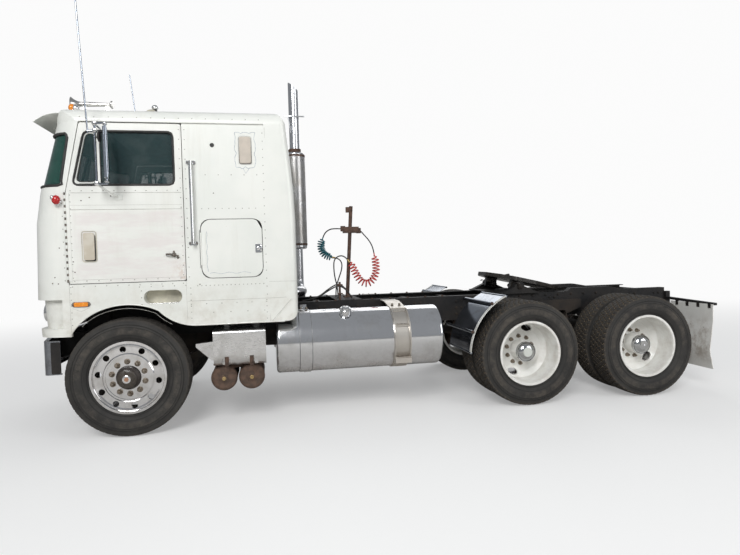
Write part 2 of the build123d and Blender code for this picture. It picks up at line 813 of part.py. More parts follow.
def tyre_lines(middle, half_width):
    """Draws a tyre's section: bead, bulged wall, shoulder and crown, on both sides of its middle."""
    Polyline((middle, rim_r), (middle + 104, rim_r), (middle + 104, rim_flange_r + 4))
    ThreePointArc(
        (middle + 104, rim_flange_r + 4), (middle + half_width, 410), (middle + half_width - 18, 500)
    )
    Polyline(
        (middle + half_width - 18, 500), (middle + half_width - 34, tyre_r - 4), (middle, tyre_r)
    )
    mirror(about=Plane(origin=(middle, 0, 0), z_dir=(1, 0, 0)))


def rim_lines(middle, outwards, disc_y, disc_r, dish):
    """Draws a rim's section: barrel, two flanges and a dished disc that runs in to disc_r."""
    Polyline(
        (middle - outwards * 118, rim_flange_r),
        (middle - outwards * 105, rim_flange_r),
        (middle - outwards * 105, rim_r),
        (middle + outwards * 105, rim_r),
        (middle + outwards * 105, rim_flange_r),
        (middle + outwards * 118, rim_flange_r),
        (middle + outwards * 118, rim_r - 8),
        (middle + outwards * 104, rim_r - 14),
        (disc_y + outwards * dish, rim_r - 24),
        (disc_y + outwards * 11, rim_r - 24 - dish),
        (disc_y + outwards * 11, disc_r),
        (disc_y - outwards * 11, disc_r),
        (disc_y - outwards * 11, rim_r - 30 - dish),
        (disc_y + outwards * (dish - 17), rim_r - 23),
        (middle - outwards * 118, rim_r - 14),
        close=True,
    )


# Front wheels: a polished disc with round hand holes, its hub and the brake drum behind it
steer_disc_y = steer_tyre_y + 92
hub_r = 105
drum_r = 208
disc_ring_r = 214
bearing_bore_r = front_spindle_r + 3
with BuildPart() as front_left_wheel:
    with BuildSketch(wheel_plane(axle_x, 0)):
        with BuildLine():
            rim_lines(steer_tyre_y, 1, steer_disc_y, hub_r - 20, 14)
        make_face()
        with BuildLine():
            Polyline(
                (steer_disc_y, disc_ring_r - 20),
                (steer_disc_y + 19, disc_ring_r - 20),
                (steer_disc_y + 19, disc_ring_r - 6),
                (steer_disc_y + 11, disc_ring_r + 4),
                (steer_disc_y, disc_ring_r + 4),
                close=True,
            )
        make_face()
        with BuildLine():
            Polyline(
                (915, bearing_bore_r),
                (915, drum_r),
                (1040, drum_r),
                (1040, 130),
                (steer_disc_y - 11, 130),
                (steer_disc_y - 11, hub_r),
                (steer_disc_y + 40, hub_r - 8),
                (steer_disc_y + 58, 78),
                (steer_disc_y + 88, 72),
                (steer_disc_y + 96, 0),
                (front_spindle_y + 10, 0),
                (front_spindle_y + 10, bearing_bore_r),
                close=True,
            )
        make_face()
    revolve(axis=axle_axis(axle_x))
    with Locations(Plane(origin=(axle_x, 1000, hub_z), z_dir=(0, 1, 0)).location):
        with PolarLocations(255, 10, start_angle=9):
            Cylinder(27, 400, align=(Align.CENTER, Align.CENTER, Align.MIN), mode=Mode.SUBTRACT)
front_left_wheel.part.label = "front_left_wheel"
export_step(front_left_wheel.part, "parts/front_left_wheel.step")

with BuildPart() as front_left_tyre:
    with BuildSketch(wheel_plane(axle_x, 0)):
        with BuildLine():
            tyre_lines(steer_tyre_y, 140)
        make_face()
    revolve(axis=axle_axis(axle_x))
front_left_tyre.part.label = "front_left_tyre"
export_step(front_left_tyre.part, "parts/front_left_tyre.step")

with BuildPart() as front_right_wheel:
    mirror(front_left_wheel.part, about=Plane.XZ)
front_right_wheel.part.label = "front_right_wheel"
export_step(front_right_wheel.part, "parts/front_right_wheel.step")

with BuildPart() as front_right_tyre:
    mirror(front_left_tyre.part, about=Plane.XZ)
front_right_tyre.part.label = "front_right_tyre"
export_step(front_right_tyre.part, "parts/front_right_tyre.step")

# Drive wheels: two steel rims back to back on one hub, with hand holes and the hub's dome
dual_disc_y = (outer_tyre_y + inner_tyre_y) / 2
drive_bore_r = spindle_r + 6
cover_y = 1088
cover_r = 98
cover_cap_r = 48
hand_hole_place = 236
hand_hole = (33, 58)
for place, x, turn in (("first", first_drive_x, 70), ("second", second_drive_x, -43)):
    with BuildPart() as wheel:
        with BuildSketch(wheel_plane(x, 0)):
            with BuildLine():
                rim_lines(outer_tyre_y, 1, dual_disc_y + 11, 140, 52)
            make_face()
            with BuildLine():
                rim_lines(inner_tyre_y, -1, dual_disc_y - 11, 140, 52)
            make_face()
            with BuildLine():
                Polyline(
                    (632, drive_bore_r),
                    (632, drum_r),
                    (810, drum_r),
                    (810, 150),
                    (dual_disc_y + 23, 150),
                    (dual_disc_y + 23, 106),
                    (cover_y, cover_r),
                )
                ThreePointArc((cover_y, cover_r), (cover_y + 26, cover_r * 0.78), (cover_y + 40, cover_cap_r))
                Polyline(
                    (cover_y + 40, cover_cap_r),
                    (1136, cover_cap_r - 4),
                    (1138, 0),
                    (1012, 0),
                    (1012, drive_bore_r),
                    (632, drive_bore_r),
                )
            make_face()
        revolve(axis=axle_axis(x))
        with BuildSketch(side(dual_disc_y + 100)):
            with Locations((x, hub_z)):
                with PolarLocations(hand_hole_place, 2, start_angle=180 - turn):
                    Ellipse(hand_hole[0], hand_hole[1])
        extrude(amount=200, mode=Mode.SUBTRACT)
    with BuildPart() as tyres:
        with BuildSketch(wheel_plane(x, 0)):
            for middle in (outer_tyre_y, inner_tyre_y):
                with BuildLine():
                    tyre_lines(middle, 140)
                make_face()
        revolve(axis=axle_axis(x))
    for hand in ("left", "right"):
        for kind, source in (("wheel", wheel), ("tyres", tyres)):
            name = f"{place}_{hand}_{kind}"
            piece = source.part if hand == "left" else source.part.mirror(Plane.XZ)
            piece.label = name
            export_step(piece, f"parts/{name}.step")

# Cab outline below the roof: height, half width, front and back from the front axle line
cab_levels = (
    (915, 1166, 730, -1506),
    (1240, 1170, 749, -1506),
    (1890, 1170, 731, -1506),
    (belt_z, 1168, 690, -1497),
    (roof_z, 1158, 535, -1443),
)
split_x = axle_x + 436
split_top_x = axle_x + 312
rear_split_x = axle_x - 1250
skirt_z = 967


def cab_body(inset, stretch=0):
    """Solid of the cab below its roof, its walls moved inwards by inset."""
    with BuildPart() as body:
        for row, (z, half_width, front, back) in enumerate(cab_levels):
            if row == 0:
                z -= stretch
            if row == len(cab_levels) - 1:
                z += stretch
            with BuildSketch(level(z)):
                with BuildLine():
                    FilletPolyline(
                        (axle_x + front - inset, half_width - inset),
                        (axle_x + front - inset, -half_width + inset),
                        (axle_x + back + inset, -half_width + inset),
                        (axle_x + back + inset, half_width - inset),
                        radius=[corner_r - inset, corner_r - inset]
                        + [max(rear_corner_r - inset, 5), max(rear_corner_r - inset, 5)],
                        close=True,
                    )
                make_face()
        loft(ruled=True)
    return body.part


cab_outer = cab_body(0)
cab_inner = cab_body(wall, 20)
cab_inside = cab_body(wall + 1, 0)
with BuildPart() as cab_shell:
    add(cab_outer)
    add(cab_inner, mode=Mode.SUBTRACT)

# Front wall: everything ahead of the doors, with the windscreen band, grille and lamp pockets
screen_low = 2212
screen_high = 2655
screen_edge = ((axle_x + 470, screen_low), (axle_x + 396, screen_high))
post_y = 22
grille_y = 470
grille_z = (1015, 1985)
pocket_y = 570
pocket_z = (985, 1236)
pocket_depth = 50
with BuildPart() as front_region:
    with BuildSketch(side(1300)):
        with BuildLine():
            Polyline(
                (split_x, 900),
                (split_x, belt_z - 8),
                (split_top_x, roof_z),
                (axle_x + 900, roof_z),
                (axle_x + 900, 900),
                close=True,
            )
        make_face()
    extrude(amount=2600)
with BuildPart() as screen_band:
    with BuildSketch(side(1300)):
        with BuildLine():
            FilletPolyline(
                screen_edge[0],
                screen_edge[1],
                (axle_x + 900, screen_high),
                (axle_x + 900, screen_low),
                radius=[45, 45, 1, 1],
                close=True,
            )
        make_face()
    extrude(amount=2600)
with BuildPart() as pocket_cut:
    block((split_x + 60, axle_x + 900), (pocket_y, 1300), pocket_z)
    mirror(about=Plane.XZ)
    add(cab_body(pocket_depth, 20), mode=Mode.SUBTRACT)
with BuildPart() as pocket_back:
    block((split_x + 20, axle_x + 900), (pocket_y - 30, 1300), (pocket_z[0] - 25, pocket_z[1] + 25))
    mirror(about=Plane.XZ)
    add(cab_outer, mode=Mode.INTERSECT)
    add(cab_body(pocket_depth + wall, 20), mode=Mode.SUBTRACT)
with BuildPart() as screen_post:
    block((axle_x + 300, axle_x + 900), (-post_y, post_y), (screen_low - 20, screen_high + 20))
    add(cab_shell.part, mode=Mode.INTERSECT)
with BuildPart() as cab_front:
    add(cab_shell.part)
    add(front_region.part, mode=Mode.INTERSECT)
    add(pocket_back.part)
    add(pocket_cut.part, mode=Mode.SUBTRACT)
    add(screen_band.part, mode=Mode.SUBTRACT)
    add(screen_post.part)
    block((axle_x + 600, axle_x + 900), (-grille_y, grille_y), grille_z, Mode.SUBTRACT)
cab_front.part.label = "cab_front"
export_step(cab_front.part, "parts/cab_front.step")

# Side walls: the sleeper side and the sill below the door, with the wheel arch, the luggage
# hatch and the step slot cut out
door_low = 1371
door_high = 2749
door_back = axle_x - 524
hatch = ((axle_x - 1197, axle_x - 665), (1385, 1905))
hatch_r = 90
side_cut_y = (1000, 1300)
step_slot = (322, 120)
step_slot_place = (axle_x - 324, 1231)
pan_t = 6
pan_depth = 90
with BuildPart() as side_cuts:
    block((door_back - door_gap, axle_x + 900), side_cut_y, (door_low - door_gap, 3000))
    with BuildSketch(side(side_cut_y[1])):
        with Locations(((hatch[0][0] + hatch[0][1]) / 2, (hatch[1][0] + hatch[1][1]) / 2)):
            RectangleRounded(
                hatch[0][1] - hatch[0][0] + 2 * door_gap,
                hatch[1][1] - hatch[1][0] + 2 * door_gap,
                hatch_r + door_gap,
            )
        with BuildLine():
            Line((axle_x + 453, 880), (axle_x + 453, 917))
            ThreePointArc((axle_x + 453, 917), (axle_x + 330, 1062), (axle_x + 180, 1143))
            ThreePointArc((axle_x + 180, 1143), (axle_x - 60, 1174), (axle_x - 282, 1113))
            ThreePointArc((axle_x - 282, 1113), (axle_x - 440, 1000), (axle_x - 590, skirt_z))
            Polyline(
                (axle_x - 590, skirt_z), (axle_x - 1700, skirt_z), (axle_x - 1700, 880), (axle_x + 453, 880)
            )
        make_face()
    extrude(amount=side_cut_y[1] - side_cut_y[0])
with BuildPart() as cab_sides:
    add(cab_shell.part)
    block((rear_split_x, split_x), side_cut_y, (915, roof_z), Mode.INTERSECT)
    add(side_cuts.part, mode=Mode.SUBTRACT)
    with BuildSketch(side(1140)):
        with Locations(step_slot_place):
            RectangleRounded(step_slot[0] + 2 * pan_t, step_slot[1] + 2 * pan_t, step_slot[1] / 2 + pan_t - 1)
    extrude(amount=pan_depth)
    with BuildSketch(side(1180)):
        with Locations(step_slot_place):
            RectangleRounded(step_slot[0], step_slot[1], step_slot[1] / 2 - 1)
    extrude(amount=40 + pan_depth - pan_t, mode=Mode.SUBTRACT)
    with BuildSketch(side(1172)):
        with Locations((axle_x - 1074, 2524)):
            RectangleRounded(106, 243, 14)
    extrude(amount=20)
    mirror(about=Plane.XZ)
cab_sides.part.label = "cab_sides"
export_step(cab_sides.part, "parts/cab_sides.step")

# Rear wall: wraps round to the seam on each side, and is cut away over the frame and the tanks
heel_r = 100
heel_x = axle_x - cab_back + heel_r
with BuildPart() as cab_rear:
    add(cab_shell.part)
    block((axle_x - 1700, rear_split_x), (-1300, 1300), (skirt_z, roof_z), Mode.INTERSECT)
    block((axle_x - 1700, rear_split_x - 70), (-560, 560), (900, floor_z), Mode.SUBTRACT)
    block((axle_x - 1700, rear_split_x), (-1110, 1110), (900, 1190), Mode.SUBTRACT)
    with BuildSketch(side(1300)):
        with BuildLine():
            corner = CenterArc((heel_x, skirt_z + heel_r), heel_r, 180, 90)
            Polyline(
                corner @ 0,
                (heel_x - 2 * heel_r, skirt_z + heel_r),
                (heel_x - 2 * heel_r, 900),
                (heel_x, 900),
                corner @ 1,
            )
        make_face()
    extrude(amount=2600, mode=Mode.SUBTRACT)
cab_rear.part.label = "cab_rear"
export_step(cab_rear.part, "parts/cab_rear.step")

# Roof: a shallow dome over the top of the walls, rounded to the sides, brow and back
crown_z = 2930


def roof_dome(inset):
    """Solid of the roof, its skin moved inwards by inset."""
    top = cab_levels[-1]
    half_width = top[1] - inset
    front = axle_x + top[2] - inset
    back = axle_x + top[3] + inset
    crown = crown_z - inset
    with BuildPart() as dome:
        with BuildSketch(level(roof_z - (20 if inset else 0))):
            with BuildLine():
                FilletPolyline(
                    (front, half_width),
                    (front, -half_width),
                    (back, -half_width),
                    (back, half_width),
                    radius=[corner_r - inset, corner_r - inset]
                    + [max(rear_corner_r - inset, 5), max(rear_corner_r - inset, 5)],
                    close=True,
                )
            make_face()
        extrude(amount=300)
        with BuildSketch(across(back - 100)):
            with BuildLine():
                Polyline((-half_width, roof_z), (-half_width, 2600), (half_width, 2600), (half_width, roof_z))
                JernArc((half_width, roof_z), (0, 1), 125, 82)
                JernArc((-half_width, roof_z), (0, 1), 125, -82)
                ThreePointArc(
                    (half_width - 125 + 125 * cos(radians(82)), roof_z + 125 * sin(radians(82))),
                    (0, crown),
                    (-half_width + 125 - 125 * cos(radians(82)), roof_z + 125 * sin(radians(82))),
                )
            make_face()
        extrude(amount=front - back + 200, mode=Mode.INTERSECT)
        with BuildSketch(side(1300)):
            with BuildLine():
                Polyline((back, 2700), (front, 2700), (front, roof_z))
                ThreePointArc((front, roof_z), (front - 60, roof_z + 90), (front - 190, crown - 20))
                Line((front - 190, crown - 20), (front - 460, crown + 1))
                Line((front - 460, crown + 1), (back + 200, crown + 1))
                ThreePointArc((back + 200, crown + 1), (back + 65, crown - 70), (back, roof_z))
                Line((back, roof_z), (back, 2700))
            make_face()
        extrude(amount=2600, mode=Mode.INTERSECT)
    return dome.part


with BuildPart() as cab_roof:
    add(roof_dome(0))
    add(roof_dome(wall), mode=Mode.SUBTRACT)
    for sign in (1, -1):
        block(
            (axle_x - 1238, axle_x + 302),
            (min(sign * 1145, sign * 1172), max(sign * 1145, sign * 1172)),
            (roof_z, roof_z + 12),
        )
cab_roof.part.label = "cab_roof"
export_step(cab_roof.part, "parts/cab_roof.step")

# Doors: the wall's own thickness, with a window, its divider bar and a full-length hinge barrel
hinge_x = axle_x + 439.5
hinge_y = 1178
hinge_r = 6.5
window_t = 6
window_y = 1138
divider_x = axle_x + 163


def door_outline():
    """Draws the door's edge, seen from the side."""
    FilletPolyline(
        (split_x - door_gap, door_low),
        (split_x - door_gap, belt_z - 8),
        (split_top_x - door_gap, door_high),
        (door_back, door_high),
        (door_back, door_low),
        radius=[12, 30, 20, 20, 20],
        close=True,
    )


def window_outline():
    """Draws the door window's edge, seen from the side."""
    FilletPolyline(
        (axle_x - 455, 2215),
        (axle_x + 376, 2215),
        (axle_x + 270, 2678),
        (axle_x - 455, 2678),
        radius=[18, 75, 30, 18],
        close=True,
    )


with BuildPart() as left_door:
    with BuildSketch(side(side_cut_y[1])):
        with BuildLine():
            door_outline()
        make_face()
        with BuildLine():
            window_outline()
        make_face(mode=Mode.SUBTRACT)
    extrude(amount=side_cut_y[1] - side_cut_y[0])
    add(cab_shell.part, mode=Mode.INTERSECT)
    block((divider_x - 12, divider_x + 12), (window_y + window_t, 1164), (2210, 2684))
    with Locations((hinge_x, hinge_y, door_low + 20)):
        Cylinder(hinge_r, belt_z - door_low - 40, align=(Align.CENTER, Align.CENTER, Align.MIN))
    block((hinge_x - 34, split_x - door_gap), (1160, 1175), (door_low + 20, belt_z - 20))
    block((split_x - door_gap, hinge_x), (1172, 1175), (door_low + 20, belt_z - 20))
    for middle, size, radius in (((263, 1688), (104, 247), 12), ((-415, 1600), (112, 26), 10)):
        with BuildSketch(side(1176)):
            with Locations((axle_x + middle[0], middle[1])):
                RectangleRounded(size[0], size[1], radius)
        extrude(amount=20)
left_door.part.label = "left_door"
export_step(left_door.part, "parts/left_door.step")

with BuildPart() as right_door:
    mirror(left_door.part, about=Plane.XZ)
right_door.part.label = "right_door"
export_step(right_door.part, "parts/right_door.step")

with BuildPart() as left_door_glass:
    with BuildSketch(side(window_y + window_t)):
        with BuildLine():
            window_outline()
        make_face()
    extrude(amount=window_t)
left_door_glass.part.label = "left_door_glass"
export_step(left_door_glass.part, "parts/left_door_glass.step")

with BuildPart() as right_door_glass:
    mirror(left_door_glass.part, about=Plane.XZ)
right_door_glass.part.label = "right_door_glass"
export_step(right_door_glass.part, "parts/right_door_glass.step")

# Luggage doors: hinged at their front edge, one below each side of the bunk
hatch_hinge_x = axle_x - 662
with BuildPart() as left_luggage_door:
    with BuildSketch(side(side_cut_y[1])):
        with Locations(((hatch[0][0] + hatch[0][1]) / 2, (hatch[1][0] + hatch[1][1]) / 2)):
            RectangleRounded(hatch[0][1] - hatch[0][0], hatch[1][1] - hatch[1][0], hatch_r)
    extrude(amount=side_cut_y[1] - side_cut_y[0])
    add(cab_shell.part, mode=Mode.INTERSECT)
    with Locations((hatch_hinge_x, hinge_y, 1500)):
        Cylinder(6, 290, align=(Align.CENTER, Align.CENTER, Align.MIN))
    block((hatch_hinge_x - 40, hatch_hinge_x - 4), (1160, 1175), (1500, 1790))
    block((hatch_hinge_x - 4, hatch_hinge_x), (1172, 1175), (1500, 1790))
left_luggage_door.part.label = "left_luggage_door"
export_step(left_luggage_door.part, "parts/left_luggage_door.step")

with BuildPart() as right_luggage_door:
    mirror(left_luggage_door.part, about=Plane.XZ)
right_luggage_door.part.label = "right_luggage_door"
export_step(right_luggage_door.part, "parts/right_luggage_door.step")

# Cab floor: a sheet with the engine tunnel folded up in its middle, and the pivot tube below it
with BuildPart() as cab_floor:
    with BuildSketch(across(axle_x - 1700)):
        with BuildLine():
            floor_line = Polyline(
                (-1300, floor_z + floor_t / 2),
                (-tunnel_y, floor_z + floor_t / 2),
                (-tunnel_y, tunnel_z),
                (tunnel_y, tunnel_z),
                (tunnel_y, floor_z + floor_t / 2),
                (1300, floor_z + floor_t / 2),
            )
        trace(floor_line, line_width=floor_t)
    extrude(amount=2600)
    add(cab_inside, mode=Mode.INTERSECT)
    bar((pivot_x, -520, pivot_z), (pivot_x, 520, pivot_z), pivot_pin_r)
    for sign in (1, -1):
        with BuildSketch(side(max(sign * 478, sign * 520))):
            with BuildLine():
                Polyline(
                    (pivot_x - 26, pivot_z - 26),
                    (pivot_x + 26, pivot_z - 26),
                    (pivot_x + 26, floor_z + 5),
                    (pivot_x - 200, floor_z + 5),
                    close=True,
                )
            make_face()
        extrude(amount=42)
cab_floor.part.label = "cab_floor"
export_step(cab_floor.part, "parts/cab_floor.step")

# Bunk: a board across the back with a partition each side of the tunnel, and its mattress
bunk_x = axle_x - 620
board_z = (1925, 1950)
with BuildPart() as bunk_board:
    block((axle_x - 1700, bunk_x), (-1300, 1300), board_z)
    for sign in (1, -1):
        block(
            (bunk_x - 25, bunk_x),
            (min(sign * 520, sign * 1300), max(sign * 520, sign * 1300)),
            (floor_z + floor_t, board_z[0]),
        )
    add(cab_inside, mode=Mode.INTERSECT)
bunk_board.part.label = "bunk_board"
export_step(bunk_board.part, "parts/bunk_board.step")

with BuildPart() as mattress:
    block((axle_x - 1435, bunk_x - 10), (-1095, 1095), (board_z[1], board_z[1] + 130))
    fillet(mattress.edges(), 35)
mattress.part.label = "mattress"
export_step(mattress.part, "parts/mattress.step")

# Seats: a pedestal, cushion and back each side of the tunnel
seat_y = 800
seat_z = floor_z + floor_t
with BuildPart() as seats:
    for sign in (1, -1):
        y = sign * seat_y
        with BuildSketch(side(y + 245)):
            with BuildLine():
                FilletPolyline(
                    (axle_x - 60, seat_z + 345),
                    (axle_x - 60, seat_z + 465),
                    (axle_x - 400, seat_z + 450),
                    (axle_x - 500, seat_z + 1130),
                    (axle_x - 605, seat_z + 1110),
                    (axle_x - 520, seat_z + 345),
                    radius=[45, 45, 40, 45, 40, 60],
                    close=True,
                )
            make_face()
        extrude(amount=490)
        block((axle_x - 440, axle_x - 140), (y - 150, y + 150), (seat_z, seat_z + 350))
seats.part.label = "seats"
export_step(seats.part, "parts/seats.step")

# Dashboard: a padded shelf across the cab below the windscreen, with the steering column
column_foot = (axle_x + 420, 800, floor_z + floor_t + 60)
wheel_centre = (axle_x + 205, 800, 2045)
with BuildPart() as dashboard:
    with BuildSketch(side(1300)):
        with BuildLine():
            FilletPolyline(
                (axle_x + 900, 1760),
                (axle_x + 560, 1790),
                (axle_x + 400, 1930),
                (axle_x + 430, 2080),
                (axle_x + 560, 2130),
                (axle_x + 900, 2150),
                radius=[1, 60, 45, 30, 30, 1],
                close=True,
            )
        make_face()
    extrude(amount=2600)
    add(cab_inside, mode=Mode.INTERSECT)
    bar(column_foot, wheel_centre, 32)
dashboard.part.label = "dashboard"
export_step(dashboard.part, "parts/dashboard.step")

column_dir = Vector(*wheel_centre) - Vector(*column_foot)
with BuildPart() as steering_wheel:
    with BuildSketch(Plane(origin=wheel_centre, x_dir=(0, 1, 0), z_dir=column_dir).offset(38)) as spokes:
        Circle(55)
        Rectangle(490, 30)
        Rectangle(30, 490)
    extrude(amount=22)
    with Locations(Plane(origin=wheel_centre, z_dir=column_dir).offset(49).location):
        Torus(245, 15)
steering_wheel.part.label = "steering_wheel"
export_step(steering_wheel.part, "parts/steering_wheel.step")

# Windscreen: two wrapped panes either side of the centre post
with BuildPart() as windscreen:
    add(cab_body(12, 5))
    add(cab_body(18, 20), mode=Mode.SUBTRACT)
    add(screen_band.part, mode=Mode.INTERSECT)
    block((split_top_x, axle_x + 900), (-post_y, post_y), (screen_low, screen_high), Mode.SUBTRACT)
windscreen.part.label = "windscreen"
export_step(windscreen.part, "parts/windscreen.step")

# Grille: a bright frame round a set of upright bars tied by three rails
grille_face = axle_x + 738
grille_bars = 23
with BuildPart() as grille:
    with BuildSketch(across(grille_face - 40)):
        with Locations((0, sum(grille_z) / 2)):
            RectangleRounded(2 * grille_y, grille_z[1] - grille_z[0], 8)
            RectangleRounded(2 * grille_y - 60, grille_z[1] - grille_z[0] - 60, 8, mode=Mode.SUBTRACT)
            with GridLocations(2 * (grille_y - 30) / grille_bars, 0, grille_bars, 1):
                Rectangle(7, grille_z[1] - grille_z[0] - 40)
            with GridLocations(0, (grille_z[1] - grille_z[0]) / 4, 1, 3):
                Rectangle(2 * grille_y - 40, 10)
    extrude(amount=36)
grille.part.label = "grille"
export_step(grille.part, "parts/grille.step")

# Lamps: twin headlamps in each pocket, a marker on each side, a red bullet lamp on each corner and
# five markers along the brow of the roof, all cut to the shell that they stand on
marker_r = 36
marker_x = axle_x + 395
marker_z = (2878, 2915)  # foot, inside the roof's skin, and middle of the lens
with BuildPart() as lamps:
    for y in (660, 850):
        bar((axle_x + 675, y, 1110), (axle_x + 731, y, 1110), 80)
        bar((axle_x + 731, y, 1110), (axle_x + 737, y, 1110), 70)
    bar((axle_x + 501, 1150, 2089), (axle_x + 501, 1184, 2089), 30)
    with Locations((axle_x + 501, 1192, 2089)):
        Sphere(38)
    with BuildSketch(side(1188)):
        with Locations((axle_x + 347, 1192)):
            RectangleRounded(145, 44, 16)
    extrude(amount=40)
    for y in (0, 170, 980):
        bar((marker_x, y, marker_z[0]), (marker_x, y, marker_z[1]), marker_r)
        with Locations((marker_x, y, marker_z[1])):
            Sphere(marker_r)
    mirror(about=Plane.XZ)
    for shell in (cab_front, cab_sides, cab_roof):
        add(shell.part, mode=Mode.SUBTRACT)
lamps.part.label = "lamps"
export_step(lamps.part, "parts/lamps.step")

# Sun visor: a curved sheet over the windscreen, on three brackets and three stays
with BuildPart() as sun_visor:
    with BuildSketch(side(1080)):
        with BuildLine():
            visor_line = ThreePointArc(
                (axle_x + 486, 2846), (axle_x + 600, 2822), (axle_x + 690, 2765)
            )
        trace(visor_line, line_width=5)
    extrude(amount=2160)
    for y in (-700, 0, 700):
        block((axle_x + 455, axle_x + 497), (y - 20, y + 20), (2836, 2846))
        bar((axle_x + 525, y, 2742), (axle_x + 655, y, 2793), 6)
    for shell in (cab_front, cab_roof):
        add(shell.part, mode=Mode.SUBTRACT)
sun_visor.part.label = "sun_visor"
export_step(sun_visor.part, "parts/sun_visor.step")

# Air horn on the left of the roof: a long trumpet with a flared bell, on two feet
horn_y = 870
horn_z = 2978
horn_x = (90, 440)  # tail and bell, from the front axle line
with BuildPart() as air_horn:
    with BuildSketch(Plane(origin=(axle_x + horn_x[0], horn_y, horn_z), x_dir=(1, 0, 0), z_dir=(0, 1, 0))):
        with BuildLine():
            Polyline((0, 0), (0, 34), (16, 34), (30, 15), (230, 22))
            ThreePointArc((230, 22), (310, 32), (350, 62))
            Polyline((350, 62), (350, 54), (300, 22), (300, 0), (0, 0))
        make_face()
    revolve(axis=Axis((axle_x, horn_y, horn_z), (1, 0, 0)))
    for x in (horn_x[0] + 50, horn_x[1] - 110):
        block((axle_x + x - 15, axle_x + x + 15), (horn_y - 10, horn_y + 10), (2886, horn_z))
    add(cab_roof.part, mode=Mode.SUBTRACT)
air_horn.part.label = "air_horn"
export_step(air_horn.part, "parts/air_horn.step")

# Mirrors: an upright mirror on a post between two brackets on each door, with a whip aerial
mirror_y = 1370
whip_top = 3950
with BuildPart() as mirror_frame:
    with BuildSketch(level(2240)):
        with Locations(Location((axle_x + 45, mirror_y), 100)):
            RectangleRounded(170, 32, 12)
    extrude(amount=415)
    bar((axle_x + 135, 1330, 2190), (axle_x + 135, 1330, 2710), 9)
    for z in (2200, 2700):
        bar((axle_x + 140, 1172, z), (axle_x + 135, 1330, z), 8)
        bar((axle_x + 135, 1330, z), (axle_x + 40, mirror_y, z), 8)
    for z in ((2200, 2245), (2650, 2700)):
        bar((axle_x + 45, mirror_y, z[0]), (axle_x + 45, mirror_y, z[1]), 8)
with BuildPart() as left_mirror:
    add(mirror_frame.part)
    bar((axle_x + 130, 1330, 2640), (axle_x + 195, 1330, 2640), 10)
    bar((axle_x + 190, 1330, 2620), (axle_x + 250, 1330, whip_top), 7)
left_mirror.part.label = "left_mirror"
export_step(left_mirror.part, "parts/left_mirror.step")

with BuildPart() as right_mirror:
    mirror(mirror_frame.part, about=Plane.XZ)
    bar((axle_x + 130, -1330, 2640), (axle_x + 262, -1330, 2640), 10)
    bar((axle_x + 255, -1330, 2620), (axle_x + 398, -1330, whip_top), 7)
right_mirror.part.label = "right_mirror"
export_step(right_mirror.part, "parts/right_mirror.step")

# Grab handles: one upright rail behind each door
with BuildPart() as grab_handles:
    bar((axle_x - 600, 1228, 1690), (axle_x - 600, 1228, 2415), 15)
    for z in (1700, 2405):
        bar((axle_x - 600, 1170, z), (axle_x - 600, 1228, z), 13)
    mirror(about=Plane.XZ)
grab_handles.part.label = "grab_handles"
export_step(grab_handles.part, "parts/grab_handles.step")
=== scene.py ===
"""Looks of a cab-over tractor unit: finishes, tyres, hoses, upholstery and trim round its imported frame.

Lengths are in metres, +X forward, +Y to the driver's left and +Z up.  Places along the truck are
counted from the front axle line, as `ahead(x)` says.
"""
import json
import logging
from collections.abc import Iterable
from dataclasses import dataclass, field
from enum import Enum
from math import cos, pi, radians, sin

import bpy
import numpy as np
from mathutils import Matrix, Vector


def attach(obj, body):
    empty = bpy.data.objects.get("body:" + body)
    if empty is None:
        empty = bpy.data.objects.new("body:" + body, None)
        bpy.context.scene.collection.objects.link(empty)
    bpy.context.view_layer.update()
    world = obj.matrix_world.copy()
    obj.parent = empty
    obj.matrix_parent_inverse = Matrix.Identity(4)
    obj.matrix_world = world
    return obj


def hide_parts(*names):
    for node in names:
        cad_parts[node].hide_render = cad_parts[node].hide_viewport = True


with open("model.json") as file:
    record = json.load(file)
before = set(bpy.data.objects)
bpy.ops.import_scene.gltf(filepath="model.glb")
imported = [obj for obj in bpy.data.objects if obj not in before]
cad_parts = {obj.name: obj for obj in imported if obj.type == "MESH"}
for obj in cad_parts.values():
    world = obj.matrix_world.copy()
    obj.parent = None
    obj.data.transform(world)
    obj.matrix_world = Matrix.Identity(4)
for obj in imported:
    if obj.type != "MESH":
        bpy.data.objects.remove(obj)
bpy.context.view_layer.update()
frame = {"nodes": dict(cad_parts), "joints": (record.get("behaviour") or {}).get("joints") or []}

LOG = logging.getLogger("tractor")
Place = tuple[float, float]
Places = tuple[Place, ...]
Point = tuple[float, float, float]
Colour = tuple[float, float, float]

JOINTS = {joint["name"]: joint for joint in frame["joints"]}
AXLE_X, _, HUB_Z = JOINTS["front_left_spin"]["pos_m"]
DRIVE_AXLES = {axle: JOINTS[f"{axle}_left_spin"]["pos_m"][0] - AXLE_X for axle in ("first", "second")}
TYRE_R = HUB_Z


def ahead(x: float) -> float:
    """Place along the truck of a point that is x ahead of the front axle line."""
    return AXLE_X + x


class Side(Enum):
    """The driver's left and right side of the truck."""

    LEFT = 1
    RIGHT = -1

    @property
    def word(self) -> str:
        """The side's name as the CAD nodes write it."""
        return self.name.lower()


